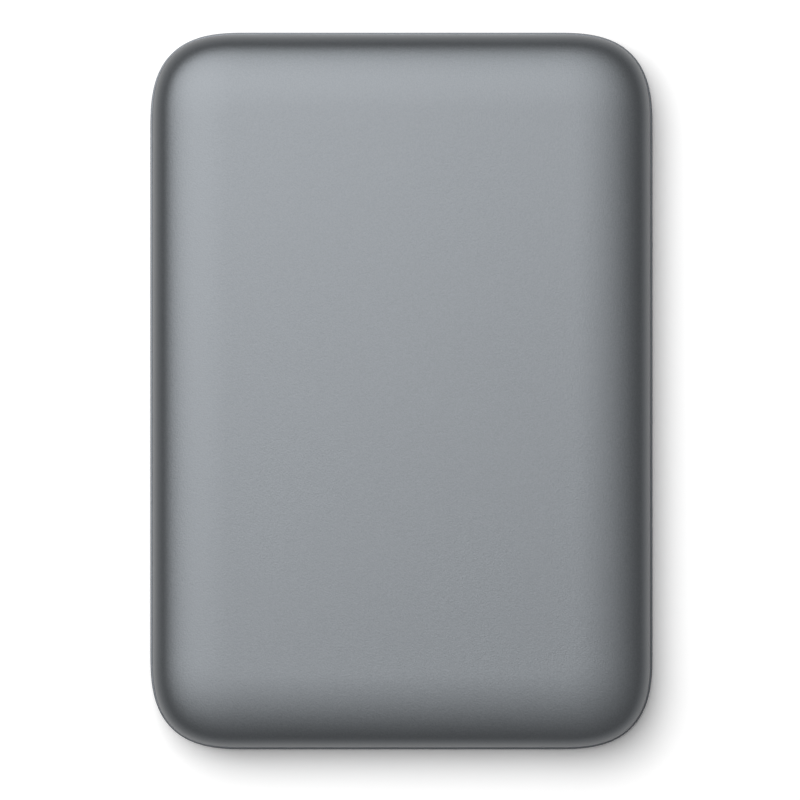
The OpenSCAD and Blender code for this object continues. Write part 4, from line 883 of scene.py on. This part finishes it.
class CASE_OT_socket(bpy.types.Operator):
    """Lays the ten contact strips on the socket's tongue and builds the dished light pipe"""

    bl_idname = "harddrive.socket"
    bl_label = "Socket contacts and light pipe"

    def execute(self, context):
        fittings = context.scene.drive_fittings
        low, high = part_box("usb_tongue")
        back, front = high.y - fittings.strip_back, high.y - fittings.strip_front
        z = fittings.socket_z + fittings.socket_height / 2 - fittings.strip_drop
        thick, half, five = fittings.strip_thick / 2, fittings.contact / 2, np.arange(-2, 3)
        rows = (
            (fittings.wide_x, fittings.wide_pitch, half),
            (fittings.narrow_x, fittings.narrow_pitch, half * fittings.narrow_share),
        )
        forms = []
        for middle, pitch, size in rows:
            x = fittings.socket_x + middle + five * pitch
            start, end = points_at(x - size, back, z - thick), points_at(x + size, front, z + thick)
            forms.append(bars(start, end, fittings.strip_bevel))
        strips = piece("socket_contacts", joined(*forms), MATERIALS["bronze"])
        place(strips, "bronze")
        low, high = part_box("light_pipe")
        centre, radius = (low + high) / 2, fittings.light / 2
        # The end is dished: at a turn t from its rim it lies light_dish * (1 - cos(t)) deep and
        # has the radius radius * cos(t) ** 0.5, and 0.999 keeps the last ring open
        t = np.linspace(0, pi / 2, 10)
        y = np.append(low.y, high.y - fittings.light_dish * (1 - np.cos(t)))
        r = np.append(radius, radius * np.cos(0.999 * t) ** 0.5)
        rows = [np.array([centre.x, centre.z]) + circle(LIGHT_STEPS)[:, ::-1] * value for value in r]
        pipe = piece("light_pipe_rod", loft(along_y(rows, y)), MATERIALS["clear_plastic"])
        place(pipe, "clear_plastic", "light_pipe")
        return {"FINISHED"}


class CASE_OT_stage(bpy.types.Operator):
    """Sets the camera straight above the case, the softbox, the room light and the floor"""

    bl_idname = "harddrive.stage"
    bl_label = "Camera, light and floor"

    def execute(self, context):
        scene, stage = context.scene, context.scene.drive_stage
        scene.view_settings.view_transform = "Standard"
        seam = scene.drive_case.seam
        data = bpy.data.cameras.new("overhead_camera")
        data.sensor_width = SENSOR
        data.lens = SENSOR * stage.camera_height / stage.frame_width
        data.clip_start, data.clip_end = 0.01, 20
        camera = bpy.data.objects.new("overhead_camera", data)
        camera.location = (stage.frame_x, stage.frame_y, seam + stage.camera_height)
        scene.collection.objects.link(camera)
        scene.camera = camera
        self.softbox(scene, stage)
        self.room(scene, stage)
        self.floor(scene, stage)
        return {"FINISHED"}

    def softbox(self, scene, stage):
        """A square area light above and to the upper left of the picture."""
        data = bpy.data.lights.new("softbox", "AREA")
        data.shape, data.size = "SQUARE", stage.softbox
        data.energy = stage.softbox_power
        lamp = bpy.data.objects.new("softbox", data)
        lamp.location = (-stage.softbox_left, stage.softbox_back, stage.softbox_height)
        lamp.rotation_euler = lamp.location.to_track_quat("Z", "Y").to_euler()
        scene.collection.objects.link(lamp)

    def room(self, scene, stage):
        """A dim, even room: white where the camera looks past the floor, pale in reflections."""
        world = bpy.data.worlds.new("studio_room")
        world.use_nodes = True
        tree = world.node_tree
        back = tree.nodes["Background"]
        back.inputs["Color"].default_value = (1, 1, 1, 1)
        level = tree.nodes.new("ShaderNodeMapRange")
        level.inputs["To Min"].default_value = stage.fill
        level.inputs["To Max"].default_value = 1
        tree.links.new(self.seen(tree, stage.fill_mirrored), level.inputs["Value"])
        tree.links.new(level.outputs["Result"], back.inputs["Strength"])
        scene.world = world

    def seen(self, tree, mirrored):
        """How far a ray sees the stage: wholly from the camera and through clear plastic, by
        the mirrored share in reflections, and else not."""
        rays = tree.nodes.new("ShaderNodeLightPath").outputs
        mirrored = calc(tree, rays["Is Glossy Ray"], mirrored, operation="MULTIPLY")
        seen = calc(tree, rays["Is Camera Ray"], mirrored, operation="MAXIMUM")
        return calc(tree, seen, rays["Is Transmission Ray"], operation="MAXIMUM")

    def floor(self, scene, stage):
        """A wide, flat floor: rings with the radii FLOOR_RADIUS * s ** 2, with s from 1 down to
        0.02, and the innermost one closed. It is white to the camera, paler in reflections,
        keeps the shadow, and returns less light to the case."""
        radius = np.linspace(1, 0.02, FLOOR_RINGS)[:, None] ** 2 * FLOOR_RADIUS
        cos, sin = circle(FLOOR_STEPS).T
        points, faces = loft(points_at(radius * cos, radius * sin, 0), closed_ends=False)
        faces = [face[::-1] for face in faces]
        faces.append((np.arange(FLOOR_STEPS) + (FLOOR_RINGS - 1) * FLOOR_STEPS).tolist())
        material = bpy.data.materials.new("studio_floor")
        material.use_nodes = True
        tree, link = material.node_tree, material.node_tree.links.new
        tree.nodes.remove(tree.nodes["Principled BSDF"])
        dull = tree.nodes.new("ShaderNodeBsdfDiffuse")
        dull.inputs["Color"].default_value = (stage.floor_return,) * 3 + (1,)
        bright = tree.nodes.new("ShaderNodeBsdfDiffuse")
        bright.inputs["Color"].default_value = (stage.floor,) * 3 + (1,)
        lift = tree.nodes.new("ShaderNodeEmission")
        lift.inputs["Strength"].default_value = stage.floor_lift
        both = tree.nodes.new("ShaderNodeAddShader")
        link(bright.outputs[0], both.inputs[0])
        link(lift.outputs[0], both.inputs[1])
        mix = tree.nodes.new("ShaderNodeMixShader")
        link(self.seen(tree, stage.floor_mirrored), mix.inputs[0])
        link(dull.outputs[0], mix.inputs[1])
        link(both.outputs[0], mix.inputs[2])
        link(mix.outputs[0], tree.nodes["Material Output"].inputs["Surface"])
        item = piece("studio_floor", (points, faces), material)


class CASE_PT_panel(bpy.types.Panel):
    """Lists the steps in the 3D view's sidebar"""

    bl_label = "Hard drive"
    bl_idname = "CASE_PT_panel"
    bl_space_type = "VIEW_3D"
    bl_region_type = "UI"
    bl_category = "Hard drive"

    def draw(self, context):
        for step in STEPS:
            self.layout.operator(step.bl_idname)


STEPS = (CASE_OT_finishes, CASE_OT_stage, CASE_OT_cover, CASE_OT_tray, CASE_OT_feet, CASE_OT_socket)
GROUPS = {
    "drive_case": CaseSizes,
    "drive_fittings": FittingSizes,
    "drive_finish": Finish,
    "drive_stage": Stage,
}


def register():
    """Registers the settings, the steps and the panel."""
    for name, group in GROUPS.items():
        bpy.utils.register_class(group)
        setattr(bpy.types.Scene, name, PointerProperty(type=group))
    for step in STEPS + (CASE_PT_panel,):
        bpy.utils.register_class(step)


def unregister():
    """Takes the panel, the steps and the settings away again."""
    for step in reversed(STEPS + (CASE_PT_panel,)):
        bpy.utils.unregister_class(step)
    for name, group in GROUPS.items():
        delattr(bpy.types.Scene, name)
        bpy.utils.unregister_class(group)


def main():
    """Runs every step in order."""
    register()
    bpy.ops.harddrive.finishes()
    bpy.ops.harddrive.stage()
    bpy.ops.harddrive.cover()
    bpy.ops.harddrive.tray()
    bpy.ops.harddrive.feet()
    bpy.ops.harddrive.socket()


if __name__ == "__main__":
    main()
